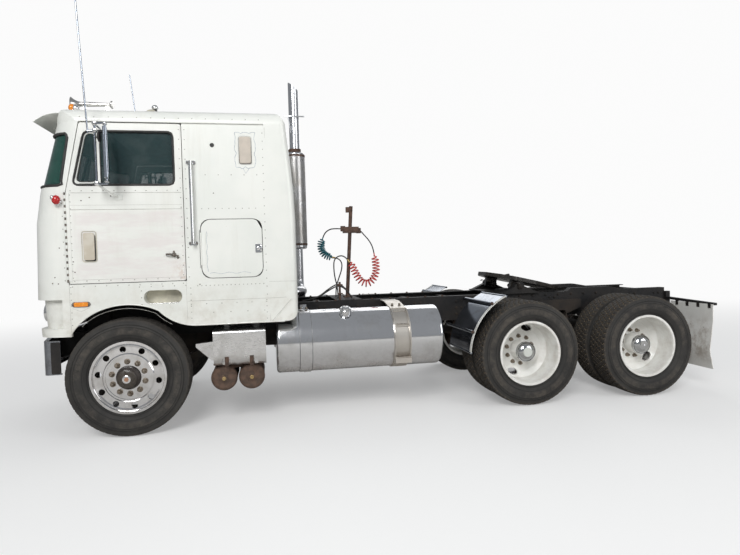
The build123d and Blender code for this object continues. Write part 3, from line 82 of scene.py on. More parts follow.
@dataclass
class Shape:
    """A surface: its points, and its faces as rows of point numbers with four or three columns."""

    points: np.ndarray
    quads: np.ndarray = field(default_factory=lambda: np.zeros((0, 4), int))
    triangles: np.ndarray = field(default_factory=lambda: np.zeros((0, 3), int))

    def __add__(self, other: "Shape") -> "Shape":
        """Both surfaces as one.

        Args:
            other: The surface that is added.

        Returns:
            The joined surface.
        """
        shift = len(self.points)
        return Shape(
            np.vstack([self.points, other.points]),
            np.vstack([self.quads, other.quads + shift]),
            np.vstack([self.triangles, other.triangles + shift]),
        )

    def moved(self, x: float = 0.0, y: float = 0.0, z: float = 0.0) -> "Shape":
        """The surface moved by x, y and z."""
        return Shape(self.points + np.array([x, y, z]), self.quads, self.triangles)

    def turned(self, axis: str, degrees: float) -> "Shape":
        """The surface turned about an axis through the origin, anticlockwise for more degrees."""
        turn = np.array(Matrix.Rotation(radians(degrees), 3, axis))
        return Shape(self.points @ turn.T, self.quads, self.triangles)

    def to_side(self, y: float = 0.0) -> "Shape":
        """A plan drawn as x and height, stood up to face the driver's left with its foot at y."""
        points = np.column_stack([self.points[:, 0], y + self.points[:, 2], self.points[:, 1]])
        return Shape(points, self.quads[:, ::-1], self.triangles[:, ::-1])

    def to_front(self, x: float = 0.0) -> "Shape":
        """A plan drawn as y and height, stood up to face forward with its foot at x."""
        points = np.column_stack([x + self.points[:, 2], self.points[:, :2]])
        return Shape(points, self.quads, self.triangles)

    def mirrored(self) -> "Shape":
        """The surface on the truck's other side, its faces turned over so that they still look out."""
        return Shape(self.points * [1.0, -1.0, 1.0], self.quads[:, ::-1], self.triangles[:, ::-1])

    def on(self, side: Side) -> "Shape":
        """The surface, made for the left side, on the side asked for."""
        return self if side is Side.LEFT else self.mirrored()

    def at_each(self, places: np.ndarray, normals: np.ndarray | None = None) -> "Shape":
        """A copy of the surface at each place, its z axis along the normal there.

        Args:
            places: One row of x, y, z for each copy.
            normals: One unit row for each copy, or None to leave the copies unturned.

        Returns:
            All the copies as one surface.
        """
        places = np.atleast_2d(places)
        count, size = len(places), len(self.points)
        if normals is None:
            spots = self.points[None] + places[:, None]
        else:
            up = np.broadcast_to(np.asarray(normals, float), places.shape)
            helper = np.where(np.abs(up[:, :1]) > 0.9, [[0.0, 1.0, 0.0]], [[1.0, 0.0, 0.0]])
            first = np.cross(helper, up)
            first /= np.linalg.norm(first, axis=1, keepdims=True)
            frames = np.stack([first, np.cross(up, first), up], axis=1)
            spots = np.einsum("pk,nkc->npc", self.points, frames) + places[:, None]
        shift = (np.arange(count) * size)[:, None, None]
        return Shape(
            spots.reshape(-1, 3),
            (self.quads[None] + shift).reshape(-1, 4),
            (self.triangles[None] + shift).reshape(-1, 3),
        )


def total(parts: Iterable) -> "Shape | Maths":
    """The sum of several surfaces, or of several shader values.

    Args:
        parts: The surfaces or shader values.

    Returns:
        Their sum, in order.
    """
    first, *others = parts
    for part in others:
        first = first + part
    return first


def grid(points: np.ndarray, wrap_u: bool = False, wrap_v: bool = False) -> Shape:
    """A surface over a grid of points.

    Args:
        points: Array of rows (u) by columns (v) by x, y, z.
        wrap_u: Whether the last row joins the first.
        wrap_v: Whether the last column joins the first.

    Returns:
        One quad for each cell of the grid.
    """
    rows, columns = points.shape[:2]
    u = np.arange(rows if wrap_u else rows - 1)
    v = np.arange(columns if wrap_v else columns - 1)
    uu, vv = np.meshgrid(u, v, indexing="ij")
    next_u, next_v = (uu + 1) % rows, (vv + 1) % columns
    quads = np.stack(
        [uu * columns + vv, next_u * columns + vv, next_u * columns + next_v, uu * columns + next_v], -1
    )
    return Shape(points.reshape(-1, 3), quads.reshape(-1, 4))


def lathe(profile: Iterable[Place], segments: int) -> Shape:
    """A profile turned once round the z axis.

    The point at angle a of a pair (h, r) is (r cos a, r sin a, h).

    Args:
        profile: Pairs of height and radius, from low to high.
        segments: How many steps a turn has.

    Returns:
        The turned surface, open at both ends.
    """
    pairs = np.array(profile)
    angles = np.linspace(0, 2 * pi, segments, endpoint=False)
    rings = np.stack(
        [
            pairs[None, :, 1] * np.cos(angles)[:, None],
            pairs[None, :, 1] * np.sin(angles)[:, None],
            np.broadcast_to(pairs[None, :, 0], (segments, len(pairs))),
        ],
        -1,
    )
    return grid(rings, wrap_u=True)


def frames_along(path: np.ndarray) -> tuple[np.ndarray, np.ndarray]:
    """Two unit directions square to a path at each of its points, carried along it with no twist.

    Args:
        path: Rows of x, y, z.

    Returns:
        The rows of the first direction and of the second.
    """
    tangents = np.gradient(path, axis=0)
    tangents /= np.linalg.norm(tangents, axis=1, keepdims=True)
    first = np.empty_like(tangents)
    start = np.cross(tangents[0], [0.0, 0.0, 1.0])
    if np.linalg.norm(start) < 1e-3:
        start = np.cross(tangents[0], [1.0, 0.0, 0.0])
    first[0] = start / np.linalg.norm(start)
    for row in range(1, len(path)):
        carried = first[row - 1] - tangents[row] * (first[row - 1] @ tangents[row])
        first[row] = carried / np.linalg.norm(carried)
    return first, np.cross(tangents, first)


def carried(path: np.ndarray, profile: np.ndarray, closed: bool = False) -> Shape:
    """A closed profile carried along a path, its ends shut by fans.

    Args:
        path: Rows of x, y, z.
        profile: Rows of (sideways, upwards) about the path, anticlockwise seen from its end.
        closed: Whether the path's end joins its start.

    Returns:
        The swept surface.
    """
    path = np.asarray(path, float)
    if closed:
        looped = np.vstack([path[-1:], path, path[:1]])
        first, second = (rows[1:-1] for rows in frames_along(looped))
    else:
        first, second = frames_along(path)
    sideways, upwards = profile[None, :, :1], profile[None, :, 1:]
    swept = grid(path[:, None] + sideways * first[:, None] + upwards * second[:, None], closed, True)
    if closed:
        return swept
    sides, last = len(profile), len(path) - 1
    around = np.arange(sides)
    ends = []
    for ring_row, forward in ((0, False), (last, True)):
        centre = np.full(sides, len(swept.points))
        swept.points = np.vstack([swept.points, path[ring_row][None]])
        fan = np.stack([centre, ring_row * sides + around, ring_row * sides + (around + 1) % sides], -1)
        ends.append(fan if forward else fan[:, ::-1])
    swept.triangles = np.vstack([swept.triangles, *ends])
    return swept


def tube(path: Iterable[Point], radius: float, sides: int, closed: bool = False) -> Shape:
    """A round tube along a path: the radius times the cosine and sine of even angles, carried."""
    angles = np.linspace(0, 2 * pi, sides, endpoint=False)
    return carried(path, radius * np.stack([np.cos(angles), np.sin(angles)], -1), closed)


def rounded(corners: Iterable[Place], radius: float, steps: int = 6) -> np.ndarray:
    """A closed outline with each corner replaced by an arc-like curve.

    Each corner's curve is the quadratic through its two tangent points with the corner as its
    control point, which is close to an arc for corners near a right angle.

    Args:
        corners: The outline's corners, anticlockwise.
        radius: How far from each corner its curve starts and ends.
        steps: Points on each curve.

    Returns:
        Rows of two numbers.
    """
    ring_points = np.array(corners, float)
    before, after = np.roll(ring_points, 1, axis=0), np.roll(ring_points, -1, axis=0)
    into, out = before - ring_points, after - ring_points
    into_length = np.linalg.norm(into, axis=1, keepdims=True)
    out_length = np.linalg.norm(out, axis=1, keepdims=True)
    start = ring_points + into / into_length * np.minimum(radius, into_length * 0.49)
    end = ring_points + out / out_length * np.minimum(radius, out_length * 0.49)
    t = np.linspace(0, 1, steps)[None, :, None]
    curve = (1 - t) ** 2 * start[:, None] + 2 * t * (1 - t) * ring_points[:, None] + t**2 * end[:, None]
    return curve.reshape(-1, 2)


def slab(outline: np.ndarray, depth: float, bevel: float) -> Shape:
    """A flat piece with a closed outline in x and y, from z 0 to its depth, with a bevelled rim.

    Its rings are the outline at the foot, the outline below the top, and the outline drawn in by
    the bevel at the top; the flat top and foot are fans about the outline's middle.

    Args:
        outline: Rows of x and y, anticlockwise.
        depth: The piece's thickness.
        bevel: The width and depth of the bevel at its top.

    Returns:
        The closed surface.
    """
    middle = outline.mean(0)
    reach = np.linalg.norm(outline - middle, axis=1, keepdims=True)
    drawn_in = middle + (outline - middle) * (1 - bevel / reach)
    levels = ((outline, 0.0), (outline, depth - bevel), (drawn_in, depth))
    rings = np.stack([np.column_stack([line, np.full(len(line), z)]) for line, z in levels])
    shape = grid(rings.transpose(1, 0, 2), wrap_u=True)
    count = len(outline)
    around = np.arange(count)
    shape.points = np.vstack([shape.points, [[*middle, 0.0], [*middle, depth]]])
    foot = np.stack([np.full(count, count * 3), (around + 1) % count * 3, around * 3], -1)
    top = np.stack([np.full(count, count * 3 + 1), around * 3 + 2, (around + 1) % count * 3 + 2], -1)
    shape.triangles = np.vstack([foot, top])
    return shape


def box_shape(low: Point, high: Point, bevel: float) -> Shape:
    """A box between two corners with rounded edges.

    The point in direction d is the corner's inner centre plus bevel times d; the directions are
    taken at 0, 45 and 90 degrees in each quarter turn and each half of the height.

    Args:
        low: Its lowest corner.
        high: Its highest corner.
        bevel: The radius of its edges, held to just under half of its thinnest side.

    Returns:
        The closed surface.
    """
    low_row, high_row = np.array(low, float), np.array(high, float)
    half, centre = (high_row - low_row) / 2, (high_row + low_row) / 2
    bevel = min(bevel, *(half * 0.98))
    quarter = np.repeat(np.arange(4) * 90.0, 3) + np.tile([0.0, 45.0, 90.0], 4)
    turn = np.radians(quarter)
    sign_x = np.repeat([1, -1, -1, 1], 3)
    sign_y = np.repeat([1, 1, -1, -1], 3)
    rise = np.radians([-90.0, -45.0, 0.0, 0.0, 45.0, 90.0])
    sign_z = np.array([-1, -1, -1, 1, 1, 1])
    core = half - bevel
    x = core[0] * sign_x[:, None] + bevel * np.cos(turn)[:, None] * np.cos(rise)[None]
    y = core[1] * sign_y[:, None] + bevel * np.sin(turn)[:, None] * np.cos(rise)[None]
    z = np.broadcast_to(core[2] * sign_z + bevel * np.sin(rise), x.shape)
    shape = grid(np.stack([x, y, z], -1), wrap_u=True)
    rows = len(rise)
    corners = np.array([0, 3, 6, 9]) * rows
    caps = np.vstack([corners[::-1], corners + rows - 1])
    shape.quads = np.vstack([shape.quads, caps])
    return shape.moved(*centre)


def dome(radius: float, height: float, sides: int = 8) -> Shape:
    """A low button head, open below: rings at its foot and two thirds of its radius, and a top."""
    return lathe([(0.0, radius), (height * 0.75, radius * 0.68), (height, 0.001 * radius)], sides)


def hex_nut(across: float, height: float, washer: float) -> Shape:
    """A six-sided nut on a round washer, along z.

    Args:
        across: The nut's width over its corners.
        height: Its height with the washer.
        washer: The washer's radius.

    Returns:
        The washer and the nut as one surface.
    """
    half, rim, face = across / 2, height * 0.14, height * 0.2
    nut = lathe([(0.0, half), (height * 0.85, half), (height, across * 0.42), (height, 0.0002)], 6)
    return lathe([(0.0, washer), (rim, washer), (face, half), (face, 0.001)], 20) + nut


def framed(low: Place, high: Place, radius: float) -> np.ndarray:
    """The outline of an upright rectangle between two corners, with its corners rounded."""
    return rounded([low, (high[0], low[1]), high, (low[0], high[1])], radius)


def about(middle: Place, half_x: float, half_z: float) -> tuple[Place, Place]:
    """The low and the high corner of an upright rectangle about its middle."""
    x, z = middle
    return (x - half_x, z - half_z), (x + half_x, z + half_z)


def plate(low: Place, high: Place, radius: float, y: float, depth: float, bevel: float) -> Shape:
    """An upright plate on the truck's left side.

    Args:
        low: Its low rear corner as (x, height).
        high: Its high front corner.
        radius: The radius of its corners.
        y: Where its inner face stands.
        depth: Its thickness.
        bevel: The bevel of its outer rim.

    Returns:
        The plate, with its bevelled face to the left.
    """
    return slab(framed(low, high, radius), depth, bevel).to_side(y)


def block(middle: Point, half: Point, bevel: float) -> Shape:
    """A box with rounded edges about its middle."""
    centre, reach = np.array(middle, float), np.array(half, float)
    return box_shape(tuple(centre - reach), tuple(centre + reach), bevel)


def build(
    name: str,
    shape: Shape,
    finish: "Finish",
    body: str,
    slot: str = "",
    replaces: tuple[str, ...] = (),
    smooth: float = 35.0,
) -> bpy.types.Object:
    """Makes a piece of the truck from a surface.

    Args:
        name: The piece's name.
        shape: Its surface in the truck's frame.
        finish: What it is made of.
        body: The CAD body that it rides on.
        slot: The record's material slot, where it isn't the finish's own; it is worked out but not used.
        replaces: CAD nodes that the piece stands for.
        smooth: Edges that turn by less than this many degrees are shaded smooth.

    Returns:
        The new object.
    """
    mesh = bpy.data.meshes.new(name)
    faces = shape.quads.tolist() + shape.triangles.tolist()
    mesh.from_pydata(shape.points.tolist(), [], faces)
    mesh.validate()
    mesh.polygons.foreach_set("use_smooth", np.ones(len(mesh.polygons), bool))
    mesh.set_sharp_from_angle(angle=radians(smooth))
    mesh.materials.append(finish.material())
    piece = bpy.data.objects.new(name, mesh)
    bpy.context.scene.collection.objects.link(piece)
    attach(piece, body)
    slot = slot or finish.slot
    if replaces:
        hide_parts(*replaces)
    LOG.info("%s: %d faces on %s", name, len(mesh.polygons), body)
    return piece


def fit(
    name: str, shape: Shape, finish: "Finish", body: str, slot: str = "", **more: object
) -> bpy.types.Object:
    """Makes a piece as build does, from a surface whose x is counted from the front axle line."""
    return build(name, shape.moved(AXLE_X), finish, body, slot, **more)


def fit_both(name: str, shape: Shape, finish: "Finish", body: str, slot: str = "") -> None:
    """Makes a piece drawn for the truck's left side on both sides, as fit does.

    Args:
        name: The pieces' name, with {} for the side's word.
        shape: The left piece's surface.
        finish: What both are made of.
        body: The body that they ride on, with {} for the side's word where there are two.
        slot: The material slot, where it isn't the finish's own.
    """
    for side in Side:
        fit(name.format(side.word), shape.on(side), finish, body.format(side.word), slot)


class Maths:
    """A shader socket that adds a Math node when it is used in an expression."""

    def __init__(self, tree: "Nodes", socket: bpy.types.NodeSocket) -> None:
        """Keeps the socket and the tree that it belongs to."""
        self.tree = tree
        self.socket = socket

    def _with(self, operation: str, *values: "Maths | float") -> "Maths":
        """The result of a Math node on these values."""
        inputs = {place: value for place, value in enumerate(values)}
        return self.tree.add("ShaderNodeMath", {"operation": operation}, inputs)

    def __add__(self, other: "Maths | float") -> "Maths":
        """Sum."""
        return self._with("ADD", self, other)

    __radd__ = __add__

    def __sub__(self, other: "Maths | float") -> "Maths":
        """Difference."""
        return self._with("SUBTRACT", self, other)

    def __rsub__(self, other: float) -> "Maths":
        """Difference from a number."""
        return self._with("SUBTRACT", other, self)

    def __mul__(self, other: "Maths | float") -> "Maths":
        """Product."""
        return self._with("MULTIPLY", self, other)

    __rmul__ = __mul__

    def __truediv__(self, other: "Maths | float") -> "Maths":
        """Quotient."""
        return self._with("DIVIDE", self, other)

    def __pow__(self, other: float) -> "Maths":
        """Power."""
        return self._with("POWER", self, other)

    def at_most(self, other: "Maths | float") -> "Maths":
        """The smaller of the two."""
        return self._with("MINIMUM", self, other)

    def at_least(self, other: "Maths | float") -> "Maths":
        """The larger of the two."""
        return self._with("MAXIMUM", self, other)

    def size(self) -> "Maths":
        """Absolute value."""
        return self._with("ABSOLUTE", self)

    def sine(self) -> "Maths":
        """Sine of an angle in radians."""
        return self._with("SINE", self)

    def angle_to(self, other: "Maths") -> "Maths":
        """The angle of the point (other, self) from the first axis."""
        return self._with("ARCTAN2", self, other)

    def ramp(self, low: float, high: float) -> "Maths":
        """0 below low, 1 above high and a smooth rise between; high may be the smaller.

        Args:
            low: Where the rise starts.
            high: Where it ends.

        Returns:
            The ramped value.
        """
        settings = {"interpolation_type": "SMOOTHSTEP", "clamp": True}
        inputs = {"Value": self, "From Min": low, "From Max": high, "To Min": 0.0, "To Max": 1.0}
        return self.tree.add("ShaderNodeMapRange", settings, inputs)

    def peak(self, place: float, width: float) -> "Maths":
        """1 at a place, with a smooth fall to 0 within this width each side."""
        return self.ramp(place - width, place) * self.ramp(place + width, place)


class Nodes:
    """A material's node tree."""

    def __init__(self, name: str) -> None:
        """Starts a material with nothing but a Principled shader and its output.

        Args:
            name: The material's name.
        """
        self.material = bpy.data.materials.new(name)
        self.material.use_nodes = True
        self.tree = self.material.node_tree
        self.tree.nodes.clear()
        self.shader = self.tree.nodes.new("ShaderNodeBsdfPrincipled")
        self.output = self.tree.nodes.new("ShaderNodeOutputMaterial")
        self.tree.links.new(self.shader.outputs[0], self.output.inputs["Surface"])
        self.place = self.add("ShaderNodeTexCoord", {}, {}, "Object")

    def add(self, kind: str, settings: dict, inputs: dict, output: int | str = 0) -> Maths:
        """Adds a node.

        Args:
            kind: The node's type.
            settings: Its own settings, set before its sockets.
            inputs: Values or links by socket name or number.
            output: The name or number of the output wanted.

        Returns:
            That output.
        """
        node = self.tree.nodes.new(kind)
        for name, value in settings.items():
            setattr(node, name, value)
        for name, value in inputs.items():
            self.put(node.inputs[name], value)
        return Maths(self, node.outputs[output])

    def put(self, socket: bpy.types.NodeSocket, value: Maths | float | tuple) -> None:
        """Gives a socket a value or a link.

        Args:
            socket: The socket.
            value: A number, a colour, a vector or an output.
        """
        if isinstance(value, Maths):
            self.tree.links.new(value.socket, socket)
        elif isinstance(value, tuple) and len(value) == 3 and socket.type == "RGBA":
            socket.default_value = (*value, 1.0)
        else:
            socket.default_value = value

    def set(self, name: str, value: Maths | float | tuple) -> None:
        """Gives the Principled shader's socket a value or a link."""
        self.put(self.shader.inputs[name], value)

    def axes(self) -> tuple[Maths, Maths, Maths]:
        """The three Object coordinates.

        Returns:
            x, y and z.
        """
        node = self.tree.nodes.new("ShaderNodeSeparateXYZ")
        self.put(node.inputs[0], self.place)
        return tuple(Maths(self, output) for output in node.outputs)

    def stretched(self, x: float, y: float, z: float) -> Maths:
        """The Object coordinates scaled along each axis."""
        return self.add("ShaderNodeMapping", {}, {"Vector": self.place, "Scale": (x, y, z)})

    def noise(
        self, scale: float, detail: float = 3.0, rough: float = 0.55, where: Maths | None = None
    ) -> Maths:
        """Noise about 0.5.

        Args:
            scale: Patches to the metre.
            detail: How many finer layers it has.
            rough: How strong the finer layers are.
            where: The coordinates that it reads, or None for the Object coordinates.

        Returns:
            A value from 0 to 1.
        """
        inputs = {"Vector": where or self.place, "Scale": scale, "Detail": detail, "Roughness": rough}
        return self.add("ShaderNodeTexNoise", {}, inputs)

    def mix(self, factor: Maths | float, first: Maths | Colour, second: Maths | Colour) -> Maths:
        """A colour between two, by a factor from 0 to 1.

        Args:
            factor: The second colour's share.
            first: The colour at 0.
            second: The colour at 1.

        Returns:
            The mixed colour.
        """
        node = self.tree.nodes.new("ShaderNodeMix")
        node.data_type = "RGBA"
        for socket, value in zip((node.inputs[0], node.inputs[6], node.inputs[7]), (factor, first, second)):
            self.put(socket, value)
        return Maths(self, node.outputs[2])

    def bump(self, height: Maths, distance: float) -> None:
        """Feeds the shader's normal from a height between 0 and 1 that stands for distance metres."""
        inputs = {"Height": height, "Distance": distance}
        self.set("Normal", self.add("ShaderNodeBump", {}, inputs))

    def mark(self, name: str) -> Maths:
        """A number kept on the mesh's points under this name."""
        return self.add("ShaderNodeAttribute", {"attribute_name": name}, {}, "Fac")

    def surface(
        self, colour: Maths, rough: Maths | float, metal: Maths | float = 0.0, coat: float = 0.0
    ) -> None:
        """Sets the shader's main sockets.

        Args:
            colour: Its base colour.
            rough: Its roughness, which is kept between 0.03 and 1 where it varies.
            metal: How metallic it is.
            coat: The weight of its clear coat.
        """
        self.set("Base Color", colour)
        self.set("Roughness", rough.at_least(0.03).at_most(1.0) if isinstance(rough, Maths) else rough)
        self.set("Metallic", metal)
        self.set("Coat Weight", coat)


DUST = (0.3, 0.235, 0.18)
RUST = (0.2, 0.075, 0.032)


@dataclass(frozen=True)
class Finish:
    """A worn surface: two shades in patches, dust towards the ground, rust spots and fine bumps."""

    name: str
    colour: Colour
    shade: Colour
    roughness: float = 0.5
    spread: float = 0.15
    metal: float = 0.0
    patch: float = 6.0
    grain: float = 90.0
    grain_depth: float = 0.0004
    dust: float = 0.3
    dust_top: float = 1.2
    rust: float = 0.0
    rust_scale: float = 5.0
    coat: float = 0.0
    sheen: float = 0.0
    gloss: float = 0.5
    slot: str = "cab_white"

    def material(self) -> bpy.types.Material:
        """The finish's material, made the first time it is asked for."""
        return bpy.data.materials.get(self.name) or self.paint().material

    def paint(self) -> Nodes:
        """Builds the node tree.

        Returns:
            The finish's nodes.
        """
        tree = Nodes(self.name)
        _, _, height = tree.axes()
        patches = tree.noise(self.patch, 4.0)
        grain = tree.noise(self.grain, 3.0, 0.6)
        colour = tree.mix(patches.ramp(0.35, 0.65), self.colour, self.shade)
        dusty = tree.noise(3.0, 5.0, 0.65).ramp(0.3, 0.75) * 0.6 + 0.4
        low = height.ramp(self.dust_top, 0.1) * dusty * self.dust
        colour = tree.mix(low, colour, DUST)
        rough = self.roughness + (grain - 0.5) * self.spread + (patches - 0.5) * self.spread + low * 0.4
        metal = (1 - low) * self.metal
        if self.rust:
            spots = tree.noise(self.rust_scale, 8.0, 0.7)
            rusty = spots.ramp(0.72 - 0.4 * self.rust, 0.8 - 0.4 * self.rust)
            browns = tree.mix(grain, RUST, tuple(1.9 * part for part in RUST))
            colour = tree.mix(rusty, colour, browns)
            rough = rough + rusty * 0.35
            metal = metal * (1 - rusty)
        tree.surface(colour, rough, metal if self.metal else 0.0, self.coat)
        tree.set("Sheen Weight", self.sheen)
        tree.set("Specular IOR Level", self.gloss)
        tree.bump(grain * 0.6 + patches * 0.4, self.grain_depth)
        return tree


@dataclass(frozen=True)
class CabPaint(Finish):
    """The cab's white paint: rivet-stained seams, dust runs and a faded band on the lower doors."""

    band: bool = False

    def paint(self) -> Nodes:
        """Builds the node tree: down-running streaks, grime below the belt and the faded band.

        Returns:
            The finish's nodes.
        """
        tree = Nodes(self.name)
        x, _, z = tree.axes()
        cloud = tree.noise(2.2, 5.0, 0.6)
        streaks = tree.noise(9.0, 4.0, 0.6, tree.stretched(1.0, 1.0, 0.12))
        grain = tree.noise(160.0, 2.0)
        colour = tree.mix(cloud.ramp(0.3, 0.7), self.colour, self.shade)
        colour = tree.mix(streaks.ramp(0.52, 0.78) * 0.28, colour, (0.6, 0.59, 0.52))
        grime = z.ramp(1.55, 0.92) * (tree.noise(7.0, 6.0, 0.7).ramp(0.38, 0.72) * 0.8 + 0.2)
        colour = tree.mix(grime * self.dust, colour, (0.46, 0.42, 0.34))
        specks = tree.noise(34.0, 5.0, 0.7).ramp(0.7, 0.78)
        colour = tree.mix(specks * 0.5, colour, (0.38, 0.3, 0.22))
        rough = self.roughness + (streaks - 0.5) * 0.2 + grime * 0.2
        if self.band:
            wipes = tree.noise(6.0, 5.0, 0.65, tree.stretched(0.35, 1.0, 1.6)).ramp(0.36, 0.62)
            band = z.ramp(2.02, 1.97) * z.ramp(1.3, 1.46) * x.ramp(ahead(0.44), ahead(0.3))
            colour = tree.mix(band * wipes * 0.55, colour, (0.7, 0.64, 0.63))
            corner = x.ramp(ahead(-0.36), ahead(-0.53)) * z.ramp(1.66, 1.4) * (1 - z.ramp(1.4, 1.37))
            stain = corner * tree.noise(22.0, 6.0, 0.7).ramp(0.42, 0.68)
            colour = tree.mix(stain * 0.55, colour, (0.45, 0.24, 0.12))
            rough = rough + band * 0.22
        tree.surface(colour, rough, coat=self.coat)
        tree.bump(cloud * 0.9 + grain * 0.1, self.grain_depth)
        return tree


@dataclass(frozen=True)
class TyreRubber(Finish):
    """Black rubber, greyed on the wall, with earth between the treads and painted shade in the wall's
    grooves.
    """

    ring_radii: tuple[float, ...] = (0.345, 0.379, 0.449, 0.4705)
    ring_width: float = 0.004

    def paint(self) -> Nodes:
        """Builds the node tree: near-black rings of painted shade in the wall's grooves, brown earth on the
        tread and fine bumps.

        Returns:
            The finish's nodes.
        """
        tree = Nodes(self.name)
        grain = tree.noise(70.0, 6.0, 0.7)
        cloud = tree.noise(4.5, 6.0, 0.65)
        colour = tree.mix(cloud.ramp(0.3, 0.7), self.colour, self.shade)
        earth = tree.noise(30.0, 6.0, 0.75).ramp(0.35, 0.6)
        tread, groove, reach = (tree.mark(name) for name in ("tread", "groove", "reach"))
        colour = tree.mix(groove * (earth * 0.4 + 0.6), colour, (0.22, 0.175, 0.125))
        colour = tree.mix(tread * earth * self.dust * 0.25, colour, (0.16, 0.125, 0.09))
        scuffs = tree.noise(7.0, 7.0, 0.75).ramp(0.4, 0.66)
        scuffed = reach.ramp(0.38, 0.405) * reach.ramp(0.462, 0.44) * scuffs
        colour = tree.mix(scuffed * 0.5, colour, (0.115, 0.098, 0.08))
        # Painted shade: near-black rings where the wall's grooves lie.
        rings = total(reach.peak(place, self.ring_width) for place in self.ring_radii)
        colour = tree.mix(rings * 0.8, colour, (0.008, 0.008, 0.008))
        tree.surface(colour, self.roughness + (grain - 0.5) * 0.3 + tread * 0.1)
        tree.set("Specular IOR Level", 0.35)
        tree.bump(grain, self.grain_depth)
        return tree


@dataclass(frozen=True)
class Polished(Finish):
    """Polished metal with faint buffing lines, water marks and dust below."""

    lines: tuple[float, float, float] = (1.0, 1.0, 1.0)

    def paint(self) -> Nodes:
        """Builds the node tree: buffing lines stretched along the metal and grey marks.

        Returns:
            The finish's nodes.
        """
        tree = Nodes(self.name)
        _, _, z = tree.axes()
        buffed = tree.noise(60.0, 4.0, 0.6, tree.stretched(*self.lines))
        marks = tree.noise(self.patch, 6.0, 0.65)
        colour = tree.mix(marks.ramp(0.45, 0.75), self.colour, self.shade)
        dusty = z.ramp(self.dust_top, 0.2) * tree.noise(8.0, 6.0, 0.7).ramp(0.3, 0.7)
        dusty = dusty * self.dust
        colour = tree.mix(dusty, colour, DUST)
        rough = self.roughness + (buffed - 0.5) * self.spread + marks.ramp(0.4, 0.8) * 0.12 + dusty * 0.5
        tree.surface(colour, rough, 1 - dusty)
        tree.bump(buffed, self.grain_depth)
        return tree


@dataclass(frozen=True)
class Perforated(Finish):
    """A bright heat guard with rows of round holes, about an upright axis."""

    axis_x: float = 0.0
    axis_y: float = 0.0
    radius: float = 0.118
    pitch: float = 0.0165

    def paint(self) -> Nodes:
        """Builds the node tree: holes where two sine waves, along and round the guard, both peak, painted
        near-black as the shade seen through them.

        Returns:
            The finish's nodes.
        """
        tree = Nodes(self.name)
        x, y, z = tree.axes()
        around = (y - self.axis_y).angle_to(x - self.axis_x) * self.radius
        wave = 2 * pi / self.pitch
        holes = ((around * wave).sine() * (z * wave).sine()).ramp(0.15, 0.45)
        patches = tree.noise(self.patch, 5.0)
        colour = tree.mix(patches.ramp(0.35, 0.7), self.colour, self.shade)
        rough = self.roughness + (patches - 0.5) * self.spread + holes * 0.5
        # Painted shade: the holes are near-black, for the shade seen through the open guard.
        tree.surface(tree.mix(holes, colour, (0.02, 0.018, 0.015)), rough, 1 - holes)
        tree.bump(1 - holes, 0.0015)
        return tree


@dataclass(frozen=True)
class Woven(Finish):
    """Cloth with a plain weave on Object coordinates."""

    thread: float = 0.0022

    def paint(self) -> Nodes:
        """Builds the node tree: over and under threads as the product of sine waves on three axes.

        Returns:
            The finish's nodes.
        """
        tree = Nodes(self.name)
        x, y, z = tree.axes()
        wave = 2 * pi / self.thread
        weave = ((x * wave).sine() * (y * wave).sine() + (z * wave).sine()) * 0.25 + 0.5
        patches = tree.noise(self.patch, 4.0)
        colour = tree.mix(patches.ramp(0.3, 0.7), self.colour, self.shade)
        dark = tuple(0.6 * part for part in self.colour)
        tree.surface(tree.mix(weave * 0.4, colour, dark), self.roughness)
        tree.set("Sheen Weight", self.sheen)
        tree.bump(weave, 0.0006)
        return tree


@dataclass(frozen=True)
class Clear(Finish):
    """Tinted glass or lens: mostly see-through, with a gloss that picks up the surroundings."""

    alpha: float = 0.35

    def paint(self) -> Nodes:
        """Builds the node tree: a dark gloss whose alpha rises where rain marks have dried.

        Returns:
            The finish's nodes.
        """
        tree = Nodes(self.name)
        marks = tree.noise(self.patch, 6.0, 0.7).ramp(0.45, 0.85)
        tree.surface(tree.mix(marks, self.colour, self.shade), self.roughness + marks * self.spread)
        tree.set("Alpha", self.alpha + marks * 0.12)
        tree.set("Specular IOR Level", 0.7)
        return tree


